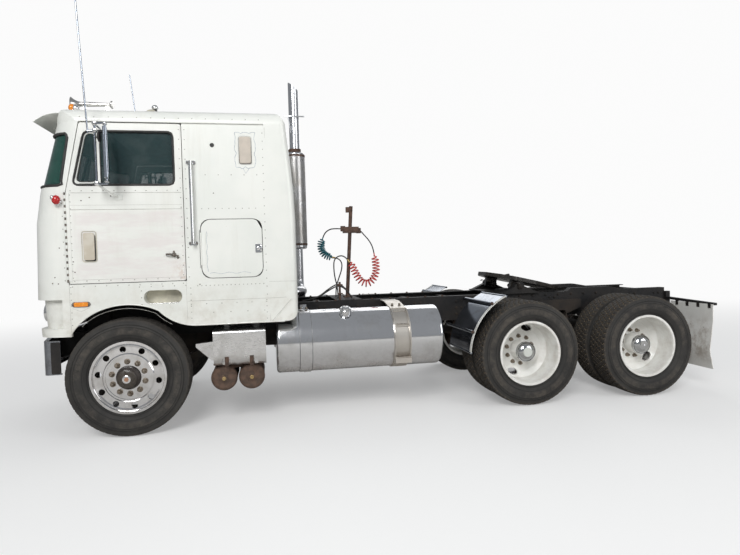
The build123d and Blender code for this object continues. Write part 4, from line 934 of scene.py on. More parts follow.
@dataclass(frozen=True)
class WheelFinish(Finish):
    """A wheel's rim and disc in one finish, with its hub and its brake drum in others."""

    axle_x: float = 0.0
    hub_r: float = 0.105
    hub_y: float = 1.1
    hub_colour: Colour = (0.06, 0.05, 0.045)
    hub_metal: float = 0.3
    hub_rough: float = 0.45
    drum_y: float = 1.045
    drum_r: float = 0.213
    cap_r: float = 0.0
    cap_colour: Colour = (0.6, 0.62, 0.58)
    edge: float = 0.003

    def paint(self) -> Nodes:
        """Builds the node tree: the finish of each ring by distance from the axle and place along it.

        Returns:
            The finish's nodes.
        """
        tree = Nodes(self.name)
        x, y, z = tree.axes()
        out, up = x - self.axle_x, z - HUB_Z
        reach = (out * out + up * up) ** 0.5
        along = y.size()
        grain = tree.noise(self.grain, 3.0)
        patches = tree.noise(self.patch, 5.0, 0.65)
        colour = tree.mix(patches.ramp(0.4, 0.7), self.colour, self.shade)
        grime = tree.noise(9.0, 6.0, 0.72).ramp(0.42, 0.72) * reach.ramp(0.2, 0.33) * self.dust
        colour = tree.mix(grime, colour, DUST)
        hub = reach.ramp(self.hub_r + self.edge, self.hub_r) * along.ramp(self.hub_y - self.edge, self.hub_y)
        drum = along.ramp(self.drum_y + self.edge, self.drum_y)
        drum = drum * reach.ramp(self.drum_r + self.edge, self.drum_r - self.edge)
        cap = reach.ramp(self.cap_r + 0.001, self.cap_r - 0.001) * hub
        worn = tree.mix(patches, self.hub_colour, tuple(0.6 * part for part in self.hub_colour))
        colour = tree.mix(hub, colour, worn)
        colour = tree.mix(cap, colour, self.cap_colour)
        colour = tree.mix(drum, colour, tree.mix(grain, (0.07, 0.035, 0.022), (0.035, 0.028, 0.024)))
        metal = (1 - grime) * self.metal * (1 - hub) + hub * self.hub_metal * (1 - cap)
        rough = self.roughness + (patches - 0.5) * self.spread + grime * 0.4
        rough = rough * (1 - hub) + hub * self.hub_rough
        tree.surface(colour, rough * (1 - drum) + drum * 0.8, metal * (1 - drum), self.coat)
        tree.bump(grain, self.grain_depth)
        return tree


@dataclass(frozen=True)
class TankFinish(Finish):
    """A polished fuel tank whose step strap is dull and whose plain strap has dark edges."""

    slot: str = "bright_aluminium"
    step_strap: Place = (-2.595, -2.425)
    strap_edges: Place = (-1.633, -1.515)
    edge: float = 0.005

    def paint(self) -> Nodes:
        """Builds the node tree: buffing lines round the tank, grey marks and the two straps' finishes.

        Returns:
            The finish's nodes.
        """
        tree = Nodes(self.name)
        x, _, z = tree.axes()
        buffed = tree.noise(60.0, 4.0, 0.6, tree.stretched(1.0, 0.05, 0.05))
        marks = tree.noise(self.patch, 6.0, 0.65)
        colour = tree.mix(marks.ramp(0.45, 0.75), self.colour, self.shade)
        rear, front = (ahead(place) for place in self.step_strap)
        step = x.ramp(rear, rear + self.edge) * x.ramp(front, front - self.edge)
        edges = total(x.peak(ahead(place), self.edge) for place in self.strap_edges)
        dusty = z.ramp(self.dust_top, 0.35) * tree.noise(8.0, 6.0, 0.7).ramp(0.3, 0.7) * self.dust
        colour = tree.mix(step * 0.7, colour, tree.mix(marks, (0.58, 0.53, 0.45), (0.4, 0.36, 0.3)))
        colour = tree.mix(dusty, colour, DUST)
        colour = tree.mix(edges, colour, (0.02, 0.02, 0.02))
        rough = self.roughness + (buffed - 0.5) * self.spread + marks.ramp(0.4, 0.8) * 0.12 + dusty * 0.5
        rough = rough + step * 0.25 + edges * 0.5
        tree.surface(colour, rough, (1 - dusty) * (1 - edges) * (1 - step * 0.15))
        tree.bump(buffed, self.grain_depth)
        return tree


@dataclass(frozen=True)
class FlapFinish(Finish):
    """White rubber with grey and brown splashes below the middle and a few dark spots."""

    def paint(self) -> Nodes:
        """Builds the node tree: splashes thickest at 0.4 to 0.6 m above the ground, and spots.

        Returns:
            The finish's nodes.
        """
        tree = Nodes(self.name)
        _, _, z = tree.axes()
        splash = tree.noise(6.0, 7.0, 0.72).ramp(0.42, 0.66) * z.ramp(0.86, 0.6) * z.ramp(0.24, 0.4)
        spots = tree.noise(26.0, 3.0, 0.5).ramp(0.7, 0.74)
        cloud = tree.noise(3.0, 4.0)
        colour = tree.mix(cloud, self.colour, self.shade)
        colour = tree.mix(splash * 0.7, colour, tree.mix(cloud, (0.42, 0.38, 0.33), (0.3, 0.23, 0.17)))
        tree.surface(tree.mix(spots * 0.8, colour, (0.1, 0.085, 0.07)), self.roughness + splash * 0.2)
        tree.bump(cloud, self.grain_depth)
        return tree


@dataclass(frozen=True)
class TubeFinish(Finish):
    """A bright nylon tube whose straight tail, above a height, is sheathed in black."""

    tail_z: float = 1.6

    def paint(self) -> Nodes:
        """Builds the node tree: two shades in patches, and black above the tail's foot.

        Returns:
            The finish's nodes.
        """
        tree = Nodes(self.name)
        _, _, z = tree.axes()
        patches = tree.noise(self.patch, 4.0)
        colour = tree.mix(patches.ramp(0.35, 0.65), self.colour, self.shade)
        colour = tree.mix(z.ramp(self.tail_z, self.tail_z + 0.01), colour, (0.02, 0.02, 0.022))
        tree.surface(colour, self.roughness + (patches - 0.5) * self.spread)
        tree.bump(patches, self.grain_depth)
        return tree


WHITE, PALE_GREY = (0.82, 0.83, 0.79), (0.76, 0.77, 0.73)
WHEEL_WHITE, WHEEL_CREAM = (0.82, 0.82, 0.79), (0.74, 0.73, 0.69)

CAB_WHITE = CabPaint(
    "cab_white_paint", WHITE, (0.76, 0.78, 0.74), 0.34, dust=0.5, coat=0.35, grain_depth=0.0012
)
DOOR_WHITE = CabPaint(
    "door_white_paint", WHITE, PALE_GREY, 0.36, dust=0.4, coat=0.3, grain_depth=0.0012, band=True
)
FRAME_BLACK = Finish(
    "frame_black_paint", (0.009, 0.009, 0.01), (0.019, 0.017, 0.016), 0.6, dust=0.06, dust_top=1.1,
    gloss=0.3, slot="frame_black"
)
CAST = Finish(
    "oily_cast_iron", (0.011, 0.01, 0.01), (0.026, 0.02, 0.016), 0.7, dust=0.15, rust=0.06, rust_scale=9,
    gloss=0.35, slot="cast_dark"
)
RUSTY = Finish(
    "old_rust", (0.05, 0.03, 0.022), (0.105, 0.06, 0.042), 0.85, patch=20, dust=0.15, rust=0.18,
    rust_scale=24, grain_depth=0.001, slot="rusty_steel"
)
GREASE = Finish(
    "black_grease", (0.012, 0.011, 0.01), (0.03, 0.026, 0.022), 0.3, 0.35, patch=22, grain_depth=0.002,
    dust=0.2, slot="cast_dark"
)
# Rivet heads darker than the cab's white: partly dirt, partly painted shade that stands for the small shadow
# round each head.
RIVET = Finish(
    "painted_rivets", (0.42, 0.42, 0.39), (0.26, 0.25, 0.22), 0.5, patch=40, dust=0.2, dust_top=1.6
)
DARK_SCREW = Finish(
    "dark_screws", (0.06, 0.055, 0.05), (0.2, 0.17, 0.14), 0.5, patch=60, dust=0.2, slot="cast_dark"
)
NUT_STEEL = Finish(
    "wheel_nut_steel", (0.34, 0.3, 0.25), (0.14, 0.11, 0.08), 0.4, metal=0.8, patch=60, dust=0.2,
    slot="cast_dark"
)
SEAM = Finish("dirty_seam", (0.17, 0.16, 0.145), (0.33, 0.31, 0.28), 0.8, patch=24, dust=0.0)
FINE_SEAM = Finish("painted_seam", (0.34, 0.33, 0.3), (0.48, 0.47, 0.44), 0.7, patch=20, dust=0.0)
SEALANT = Finish("old_sealant", (0.44, 0.49, 0.55), (0.22, 0.27, 0.34), 0.6, patch=30, dust=0.1)
STEP_BEIGE = Finish(
    "step_well_beige", (0.62, 0.59, 0.47), (0.42, 0.4, 0.33), 0.6, patch=8, dust=0.3, dust_top=1.4
)
SLEEPER_BEIGE = Finish("sleeper_vent_beige", (0.57, 0.51, 0.44), (0.5, 0.45, 0.39), 0.55, patch=12, dust=0.1)
BEIGE = Finish(
    "beige_vent_door", (0.52, 0.47, 0.38), (0.6, 0.56, 0.48), 0.6, patch=12, dust=0.2, dust_top=2.2
)
EDGE_WHITE = Finish("fender_edge_white", (0.72, 0.72, 0.69), (0.55, 0.54, 0.5), 0.5, patch=16, dust=0.25)
BLACK_RUBBER = Finish(
    "black_rubber", (0.018, 0.018, 0.018), (0.04, 0.038, 0.036), 0.6, dust=0.3, slot="hose_black"
)
INNER_TRIM = Finish("inner_trim", (0.1, 0.093, 0.086), (0.14, 0.13, 0.12), 0.75, dust=0.0, grain=220)
TYRE = TyreRubber(
    "tyre_rubber", (0.024, 0.023, 0.022), (0.04, 0.038, 0.035), 0.72, dust=0.5, grain_depth=0.0007,
    slot="tyre"
)

CHROME = Polished(
    "bright_chrome", (0.83, 0.84, 0.85), (0.62, 0.62, 0.61), 0.07, 0.05, dust=0.25, grain_depth=0.0001,
    slot="chrome"
)
MIRROR_FACE = Polished(
    "mirror_face", (0.7, 0.75, 0.82), (0.62, 0.67, 0.74), 0.04, 0.02, dust=0.0, slot="chrome"
)
# Painted reflection: the mirror heads' metal is darkened and tinted blue for what is reflected in it.
MIRROR_SHELL_PAINTED_REFLECTION = Polished(
    "mirror_shell", (0.4, 0.44, 0.5), (0.26, 0.28, 0.31), 0.14, 0.08, patch=9.0, dust=0.0
)
HORN_METAL = Polished("horn_metal", (0.62, 0.61, 0.59), (0.44, 0.43, 0.41), 0.22, 0.1, patch=12.0, dust=0.0)
# Painted reflection: the fenders' metal is darkened and tinted blue for the sky and dark ground reflected in
# it.
FENDER_STEEL_PAINTED_REFLECTION = Polished(
    "fender_steel", (0.27, 0.3, 0.35), (0.17, 0.18, 0.2), 0.1, 0.08, patch=5.0, dust=0.2
)
# Painted reflection: the bumper's metal is darkened as the dark ground reflected in it.
BUMPER_STEEL_PAINTED_REFLECTION = Polished(
    "bumper_steel", (0.26, 0.28, 0.31), (0.14, 0.14, 0.15), 0.16, 0.1, patch=6.0, dust=0.2
)
STACK_STEEL = Polished(
    "stack_chrome", (0.6, 0.61, 0.63), (0.46, 0.44, 0.41), 0.24, 0.1, patch=3.0, dust=0.0,
    slot="exhaust_steel"
)
COPPER = Polished(
    "copper_oil_cap", (0.6, 0.33, 0.22), (0.42, 0.22, 0.14), 0.3, 0.2, patch=30, dust=0.2, slot="rusty_steel"
)
BRASS = Polished(
    "dull_brass", (0.55, 0.4, 0.17), (0.35, 0.25, 0.12), 0.35, 0.2, patch=40, dust=0.3, slot="rusty_steel"
)
BOX_ALUMINIUM = Polished(
    "sheet_aluminium", (0.76, 0.76, 0.76), (0.58, 0.57, 0.55), 0.24, 0.2, patch=7.0, dust=0.4, dust_top=0.9,
    grain_depth=0.0004, lines=(0.05, 1.0, 1.0), slot="bright_aluminium"
)
EXHAUST_X, EXHAUST_Y = -1.645, -0.85
GUARD_STEEL = Perforated(
    "perforated_guard", (0.66, 0.66, 0.66), (0.5, 0.48, 0.45), 0.3, metal=1.0, patch=5.0, spread=0.2,
    axis_x=ahead(EXHAUST_X), axis_y=EXHAUST_Y, slot="exhaust_steel"
)
TANK_ALUMINIUM = TankFinish(
    "tank_aluminium", (0.74, 0.75, 0.77), (0.6, 0.6, 0.6), 0.11, 0.1, patch=5.0, dust=0.45, dust_top=0.75,
    grain_depth=0.0002
)
WHEEL_ALUMINIUM = WheelFinish(
    "wheel_aluminium", (0.74, 0.74, 0.75), (0.6, 0.59, 0.58), 0.1, 0.06, metal=1.0, patch=9.0, dust=0.12,
    grain_depth=0.0002, axle_x=AXLE_X
)
FIRST_WHITE, SECOND_WHITE = (
    WheelFinish(
        f"{axle}_wheel_paint", WHEEL_WHITE, WHEEL_CREAM, 0.38, dust=0.35, coat=0.2, patch=7.0,
        axle_x=ahead(DRIVE_AXLES[axle]), hub_r=0.1, hub_y=1.062, hub_colour=(0.62, 0.63, 0.64),
        hub_metal=1.0,
        hub_rough=0.12, drum_y=0.902, drum_r=0.262, cap_r=cap_r
    )
    for axle, cap_r in (("first", 0.049), ("second", 0.0))
)
FLAP_WHITE = FlapFinish("flap_white_rubber", WHEEL_WHITE, WHEEL_CREAM, 0.6)

GLASS_GREEN = Clear(
    "green_tinted_glass", (0.012, 0.075, 0.058), (0.05, 0.12, 0.1), 0.03, 0.05, patch=3, alpha=0.72
)
GLASS_DOOR = Clear("door_glass", (0.03, 0.066, 0.07), (0.07, 0.1, 0.1), 0.03, 0.05, patch=3, alpha=0.42)
AMBER, RED_LENS, CLEAR_LENS = (
    Clear(name, colour, shade, rough, spread, patch=patch, alpha=alpha, slot="lamp_glass")
    for name, colour, shade, rough, spread, patch, alpha in (
        ("amber_lens", (0.85, 0.27, 0.02), (0.95, 0.45, 0.1), 0.15, 0.2, 50, 0.95),
        ("red_lens", (0.45, 0.01, 0.012), (0.6, 0.05, 0.05), 0.15, 0.2, 50, 0.95),
        ("clear_lens", (0.75, 0.76, 0.76), (0.85, 0.85, 0.84), 0.08, 0.1, 40, 0.75),
    )
)
SEAT_CLOTH = Woven("seat_cloth", (0.085, 0.075, 0.07), (0.12, 0.105, 0.095), 0.9, sheen=0.3)
BEDDING = Woven("bedding_cloth", (0.25, 0.21, 0.17), (0.33, 0.28, 0.23), 0.9, sheen=0.3, thread=0.003)
RED_TUBE = TubeFinish(
    "red_nylon_tube", (0.62, 0.045, 0.04), (0.5, 0.06, 0.05), 0.35, patch=30, tail_z=1.575
)
BLUE_TUBE = TubeFinish(
    "teal_nylon_tube", (0.01, 0.11, 0.15), (0.02, 0.14, 0.17), 0.35, patch=30, tail_z=1.775
)

NODE_FINISHES = (
    (FRAME_BLACK, ("frame_rails", "crossmembers", "frame_brackets", "fifth_wheel_base", "tail_lamps")),
    (CAST, ("axles", "springs", "engine_and_radiator", "left_knuckle", "right_knuckle", "tie_rod")),
    (RUSTY, ("air_tanks", "air_line_pole")),
    (GREASE, ("fifth_wheel_plate",)),
    (BUMPER_STEEL_PAINTED_REFLECTION, ("front_bumper",)),
    (TANK_ALUMINIUM, ("fuel_tanks",)),
    (BOX_ALUMINIUM, ("battery_boxes",)),
    (STACK_STEEL, ("exhaust",)),
    (FENDER_STEEL_PAINTED_REFLECTION, ("quarter_fenders",)),
    (FLAP_WHITE, ("mudflaps",)),
    (WHEEL_ALUMINIUM, ("front_left_wheel", "front_right_wheel")),
    (FIRST_WHITE, ("first_left_wheel", "first_right_wheel")),
    (SECOND_WHITE, ("second_left_wheel", "second_right_wheel")),
    (CAB_WHITE, ("cab_front", "cab_sides", "cab_rear", "cab_roof", "sun_visor")),
    (CAB_WHITE, ("left_luggage_door", "right_luggage_door")),
    (DOOR_WHITE, ("left_door", "right_door")),
    (GLASS_GREEN, ("windscreen",)),
    (GLASS_DOOR, ("left_door_glass", "right_door_glass")),
    (CHROME, ("grille", "grab_handles")),
    (HORN_METAL, ("air_horn",)),
    (MIRROR_SHELL_PAINTED_REFLECTION, ("left_mirror", "right_mirror")),
    (INNER_TRIM, ("cab_floor", "bunk_board", "dashboard", "steering_wheel")),
)


def dress_nodes() -> None:
    """Gives every shown CAD node its finish."""
    for finish, nodes in NODE_FINISHES:
        for node in nodes:
            piece = frame["nodes"][node]
            piece.data.materials.clear()
            piece.data.materials.append(finish.material())
            LOG.info("%s wears %s", node, finish.name)


@dataclass(frozen=True)
class Viewpoint:
    """The photograph's camera: its place from the front axle's middle, and how it is held."""

    place: Point = (-1.196, 6.325, 1.531)
    yaw: float = 0.1898
    pitch: float = 0.0365
    roll: float = -0.0272
    focal_share: float = 556 / 740
    sensor: float = 36.0

    def make(self) -> None:
        """Makes the camera, which looks to the truck's right, turned by yaw towards its rear."""
        yaw, pitch, roll = self.yaw, self.pitch, self.roll
        forward = Vector((-sin(yaw) * cos(pitch), -cos(yaw) * cos(pitch), -sin(pitch)))
        right = Vector((-cos(yaw), sin(yaw), 0.0))
        up = right.cross(forward)
        right, up = right * cos(roll) + up * sin(roll), up * cos(roll) - right * sin(roll)
        data = bpy.data.cameras.new("viewpoint")
        data.sensor_width = self.sensor
        data.lens = self.sensor * self.focal_share
        camera = bpy.data.objects.new("viewpoint", data)
        bpy.context.scene.collection.objects.link(camera)
        turn = Matrix((right, up, -forward)).transposed().to_4x4()
        spot = Vector((ahead(self.place[0]), self.place[1], self.place[2]))
        camera.matrix_world = Matrix.Translation(spot) @ turn
        bpy.context.scene.camera = camera


@dataclass(frozen=True)
class Studio:
    """A pale floor, a white surround for the eye and for reflections, and soft lamps."""

    floor_size: float = 160.0
    floor_colour: Colour = (0.62, 0.6, 0.57)
    floor_seen: Colour = (0.94, 0.94, 0.93)
    fade: tuple[float, float] = (2.0, 13.0)
    near_white: float = 0.28
    surround: float = 0.32
    surround_colour: Colour = (0.93, 0.96, 1.0)
    background: float = 0.97
    lamps: tuple[tuple[str, Point, float, float], ...] = (
        ("key_light", (5.0, 13.0, 9.5), 6.0, 1420.0),
        ("fill_light", (-9.0, 10.0, 5.0), 7.0, 460.0),
        ("back_light", (-4.0, -11.0, 9.0), 9.0, 420.0),
    )
    aim: Point = (0.3, 0.0, 1.2)

    def make(self) -> None:
        """Makes the floor, the world and the lamps, and sets the plain view transform."""
        bpy.context.scene.view_settings.view_transform = "Standard"
        self.floor()
        self.world()
        for name, place, size, power in self.lamps:
            self.lamp(name, place, size, power)

    def floor(self) -> None:
        """The floor: a pale sheet that fades to the background's white, to the eye, far from the truck."""
        half = self.floor_size / 2
        mesh = bpy.data.meshes.new("floor")
        corners = [(-half, -half, 0), (half, -half, 0), (half, half, 0), (-half, half, 0)]
        mesh.from_pydata(corners, [], [(0, 1, 2, 3)])
        tree = Nodes("floor_paint")
        seen = tree.add("ShaderNodeLightPath", {}, {}, "Is Camera Ray")
        tree.set("Base Color", tree.mix(seen, self.floor_colour, self.floor_seen))
        tree.set("Roughness", 0.9)
        x, y, _ = tree.axes()
        away = ((x * x) * 0.6 + y * y) ** 0.5
        white = tree.tree.nodes.new("ShaderNodeEmission")
        white.inputs["Strength"].default_value = self.background
        mixed = tree.tree.nodes.new("ShaderNodeMixShader")
        white_share = away.ramp(*self.fade) * (1 - self.near_white) + self.near_white
        tree.put(mixed.inputs[0], white_share * seen)
        tree.tree.links.new(tree.shader.outputs[0], mixed.inputs[1])
        tree.tree.links.new(white.outputs[0], mixed.inputs[2])
        tree.tree.links.new(mixed.outputs[0], tree.output.inputs["Surface"])
        mesh.materials.append(tree.material)
        floor = bpy.data.objects.new("floor", mesh)
        bpy.context.scene.collection.objects.link(floor)

    def world(self) -> None:
        """Lights the truck from all round, and shows near white to the eye and in reflections."""
        world = bpy.data.worlds.new("surround")
        bpy.context.scene.world = world
        world.use_nodes = True
        nodes, links = world.node_tree.nodes, world.node_tree.links
        nodes.clear()
        rays = nodes.new("ShaderNodeLightPath")
        seen = nodes.new("ShaderNodeMath")
        seen.operation = "MAXIMUM"
        links.new(rays.outputs["Is Camera Ray"], seen.inputs[0])
        links.new(rays.outputs["Is Transmission Ray"], seen.inputs[1])
        mixed, output = nodes.new("ShaderNodeMixShader"), nodes.new("ShaderNodeOutputWorld")
        links.new(seen.outputs[0], mixed.inputs[0])
        lights = ((self.surround_colour, self.surround), ((1.0, 1.0, 1.0), self.background))
        for number, (colour, strength) in enumerate(lights, 1):
            light = nodes.new("ShaderNodeBackground")
            light.inputs["Color"].default_value = (*colour, 1.0)
            light.inputs["Strength"].default_value = strength
            links.new(light.outputs[0], mixed.inputs[number])
        links.new(mixed.outputs[0], output.inputs[0])

    def lamp(self, name: str, place: Point, size: float, power: float) -> None:
        """A square lamp that looks at the truck's middle.

        Args:
            name: Its name.
            place: Where it stands.
            size: The length of its sides.
            power: Its power in watts.
        """
        data = bpy.data.lights.new(name, "AREA")
        data.size = size
        data.energy = power
        lamp = bpy.data.objects.new(name, data)
        bpy.context.scene.collection.objects.link(lamp)
        lamp.location = place
        lamp.rotation_euler = (Vector(self.aim) - Vector(place)).to_track_quat("-Z", "Y").to_euler()


def spline(points: np.ndarray, name: str) -> bpy.types.Object:
    """A smooth open curve with these control points, not yet in any collection.

    Args:
        points: Rows of x, y, z.
        name: The curve's name.

    Returns:
        The curve.
    """
    data = bpy.data.curves.new(name, "CURVE")
    data.dimensions = "3D"
    data.resolution_u = 12
    line = data.splines.new("NURBS")
    line.points.add(len(points) - 1)
    line.points.foreach_set("co", np.column_stack([points, np.ones(len(points))]).ravel())
    line.order_u = 3
    line.use_endpoint_u = True
    return bpy.data.objects.new(name, data)


def points_of(mesh: bpy.types.Mesh) -> np.ndarray:
    """The mesh's points as rows.

    Args:
        mesh: The mesh.

    Returns:
        Rows of x, y, z.
    """
    rows = np.empty(len(mesh.vertices) * 3)
    mesh.vertices.foreach_get("co", rows)
    return rows.reshape(-1, 3)


def smooth_line(points: np.ndarray) -> np.ndarray:
    """Points along the smooth curve with these control points.

    Args:
        points: Rows of x, y, z.

    Returns:
        Rows of x, y, z.
    """
    curve = spline(points, "route")
    mesh = bpy.data.meshes.new_from_object(curve)
    rows = points_of(mesh)
    bpy.data.objects.remove(curve)
    bpy.data.meshes.remove(mesh)
    return rows


@dataclass
class AirLine:
    """One coiled air hose: a black lead from the deck, then the curly nylon tube to the pole."""

    name: str
    finish: Finish
    foot: tuple[Point, ...]
    coil: tuple[Point, ...]
    head: tuple[Point, ...]
    tube_diameter: float = 0.014
    coil_diameter: float = 0.09
    turns: int = 20
    per_turn: int = 18
    fade_turns: float = 1.5
    bevel_steps: int = 3

    def route(self, points: tuple[Point, ...]) -> np.ndarray:
        """Control points in the truck's frame."""
        return np.array([(ahead(x), y, z) for x, y, z in points])

    def helix(self) -> np.ndarray:
        """Points of the curly stretch.

        The point at share s of the coil's own line is that line's point plus the coil's radius
        times (cos a, sin a) on the line's two square directions, where a is turns times a full
        turn times s.  The radius rises from nothing over the first turn and a half and falls over
        the last, as 3 f^2 - 2 f^3 of the share f of that stretch.

        Returns:
            Rows of x, y, z.
        """
        line = smooth_line(self.route(self.coil))
        steps = np.concatenate([[0.0], np.cumsum(np.linalg.norm(np.diff(line, axis=0), axis=1))])
        share = np.linspace(0, 1, self.turns * self.per_turn + 1)[:, None]
        centre = np.hstack([np.interp(share * steps[-1], steps, line[:, axis]) for axis in range(3)])
        first, second = frames_along(centre)
        fade = np.minimum(np.minimum(share, 1 - share) * self.turns / self.fade_turns, 1.0)
        radius = (self.coil_diameter - self.tube_diameter) / 2 * fade**2 * (3 - 2 * fade)
        angle = share * self.turns * 2 * pi
        return centre + radius * (np.cos(angle) * first + np.sin(angle) * second)

    def length(self, points: np.ndarray) -> float:
        """Length of the smooth curve with these control points."""
        line = smooth_line(points)
        return float(np.linalg.norm(np.diff(line, axis=0), axis=1).sum())

    def hose(
        self, name: str, points: np.ndarray, finish: Finish, node: str
    ) -> bpy.types.Object:
        """A round hose along control points.

        Args:
            name: The piece's name.
            points: The control points of its smooth line.
            finish: What it is made of.
            node: The CAD node that it stands for.

        Returns:
            The curve.
        """
        piece = spline(points, name)
        piece.data.bevel_depth = self.tube_diameter / 2
        piece.data.bevel_resolution = self.bevel_steps
        piece.data.resolution_u = 3 if len(points) > 60 else 12
        piece.data.use_fill_caps = True
        piece.data.materials.append(finish.material())
        bpy.context.scene.collection.objects.link(piece)
        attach(piece, "chassis")
        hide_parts(node)
        return piece

    def sleeve(self, points: np.ndarray) -> bpy.types.Object:
        """The brass sleeve that joins the lead to the curly tube, at the lead's end.

        Args:
            points: The lead's control points.

        Returns:
            The sleeve.
        """
        line = smooth_line(points)
        end = line[-1]
        along = (end - line[-4]) / np.linalg.norm(end - line[-4])
        profile = (
            (-0.03, 0.0085), (-0.028, 0.0105), (-0.004, 0.0105), (0.0, 0.0125), (0.012, 0.0125),
            (0.016, 0.0085),
        )
        shape = lathe(profile, 16).at_each(end, along)
        return build(f"{self.name}_sleeve", shape, BRASS, "chassis", "hose_black")

    def make(self) -> None:
        lead_points = self.route(self.foot)
        lead = self.hose(f"{self.name}_lead", lead_points, BLACK_RUBBER, f"{self.name}_hose")
        sleeve = self.sleeve(lead_points)
        self.length(lead_points)
        curly = np.vstack([self.helix(), self.route(self.head)[1:]])
        slot, node = f"{self.name}_hose", f"{self.name}_coil"
        tube_piece = self.hose(f"{self.name}_curly_tube", curly, self.finish, node)
        self.length(curly)
        lengths = (self.length(lead_points), self.length(curly))
        LOG.info("%s: lead %.2f m, curly tube %.2f m", self.name, *lengths)


DECK_TOP = 1.081
RED_LINE = AirLine(
    "red", RED_TUBE,
    foot=(
        (-2.02, 0.09, DECK_TOP), (-2.02, 0.09, 1.19), (-1.99, 0.09, 1.31), (-1.98, 0.09, 1.42),
        (-1.986, 0.09, 1.514), (-2.042, 0.09, 1.559), (-2.114, 0.09, 1.549), (-2.155, 0.09, 1.49),
    ),
    coil=(
        (-2.155, 0.09, 1.49), (-2.201, 0.09, 1.424), (-2.24, 0.09, 1.325), (-2.3, 0.09, 1.242),
        (-2.384, 0.09, 1.228), (-2.452, 0.09, 1.305), (-2.476, 0.09, 1.415), (-2.45, 0.09, 1.56),
    ),
    head=(
        (-2.45, 0.09, 1.56), (-2.435, 0.09, 1.645), (-2.398, 0.072, 1.725), (-2.345, 0.04, 1.79),
        (-2.317, 0.008, 1.832),
    ),
)
BLUE_LINE = AirLine(
    "blue", BLUE_TUBE,
    foot=(
        (-2.02, -0.09, DECK_TOP), (-2.02, -0.09, 1.19), (-2.06, -0.09, 1.3), (-2.096, -0.09, 1.395),
        (-2.102, -0.09, 1.474), (-2.062, -0.09, 1.529), (-1.995, -0.093, 1.54),
    ),
    coil=(
        (-1.995, -0.093, 1.54), (-1.92, -0.097, 1.552), (-1.868, -0.1, 1.618), (-1.86, -0.101, 1.703),
        (-1.884, -0.088, 1.762),
    ),
    head=(
        (-1.884, -0.088, 1.762), (-1.91, -0.074, 1.826), (-1.962, -0.05, 1.864), (-2.022, -0.024, 1.87),
        (-2.083, -0.004, 1.865),
    ),
    turns=12,
)


class Tread(Enum):
    """How a tyre's tread is cut."""

    RIB = "four ribs"
    BLOCK = "rows of blocks"


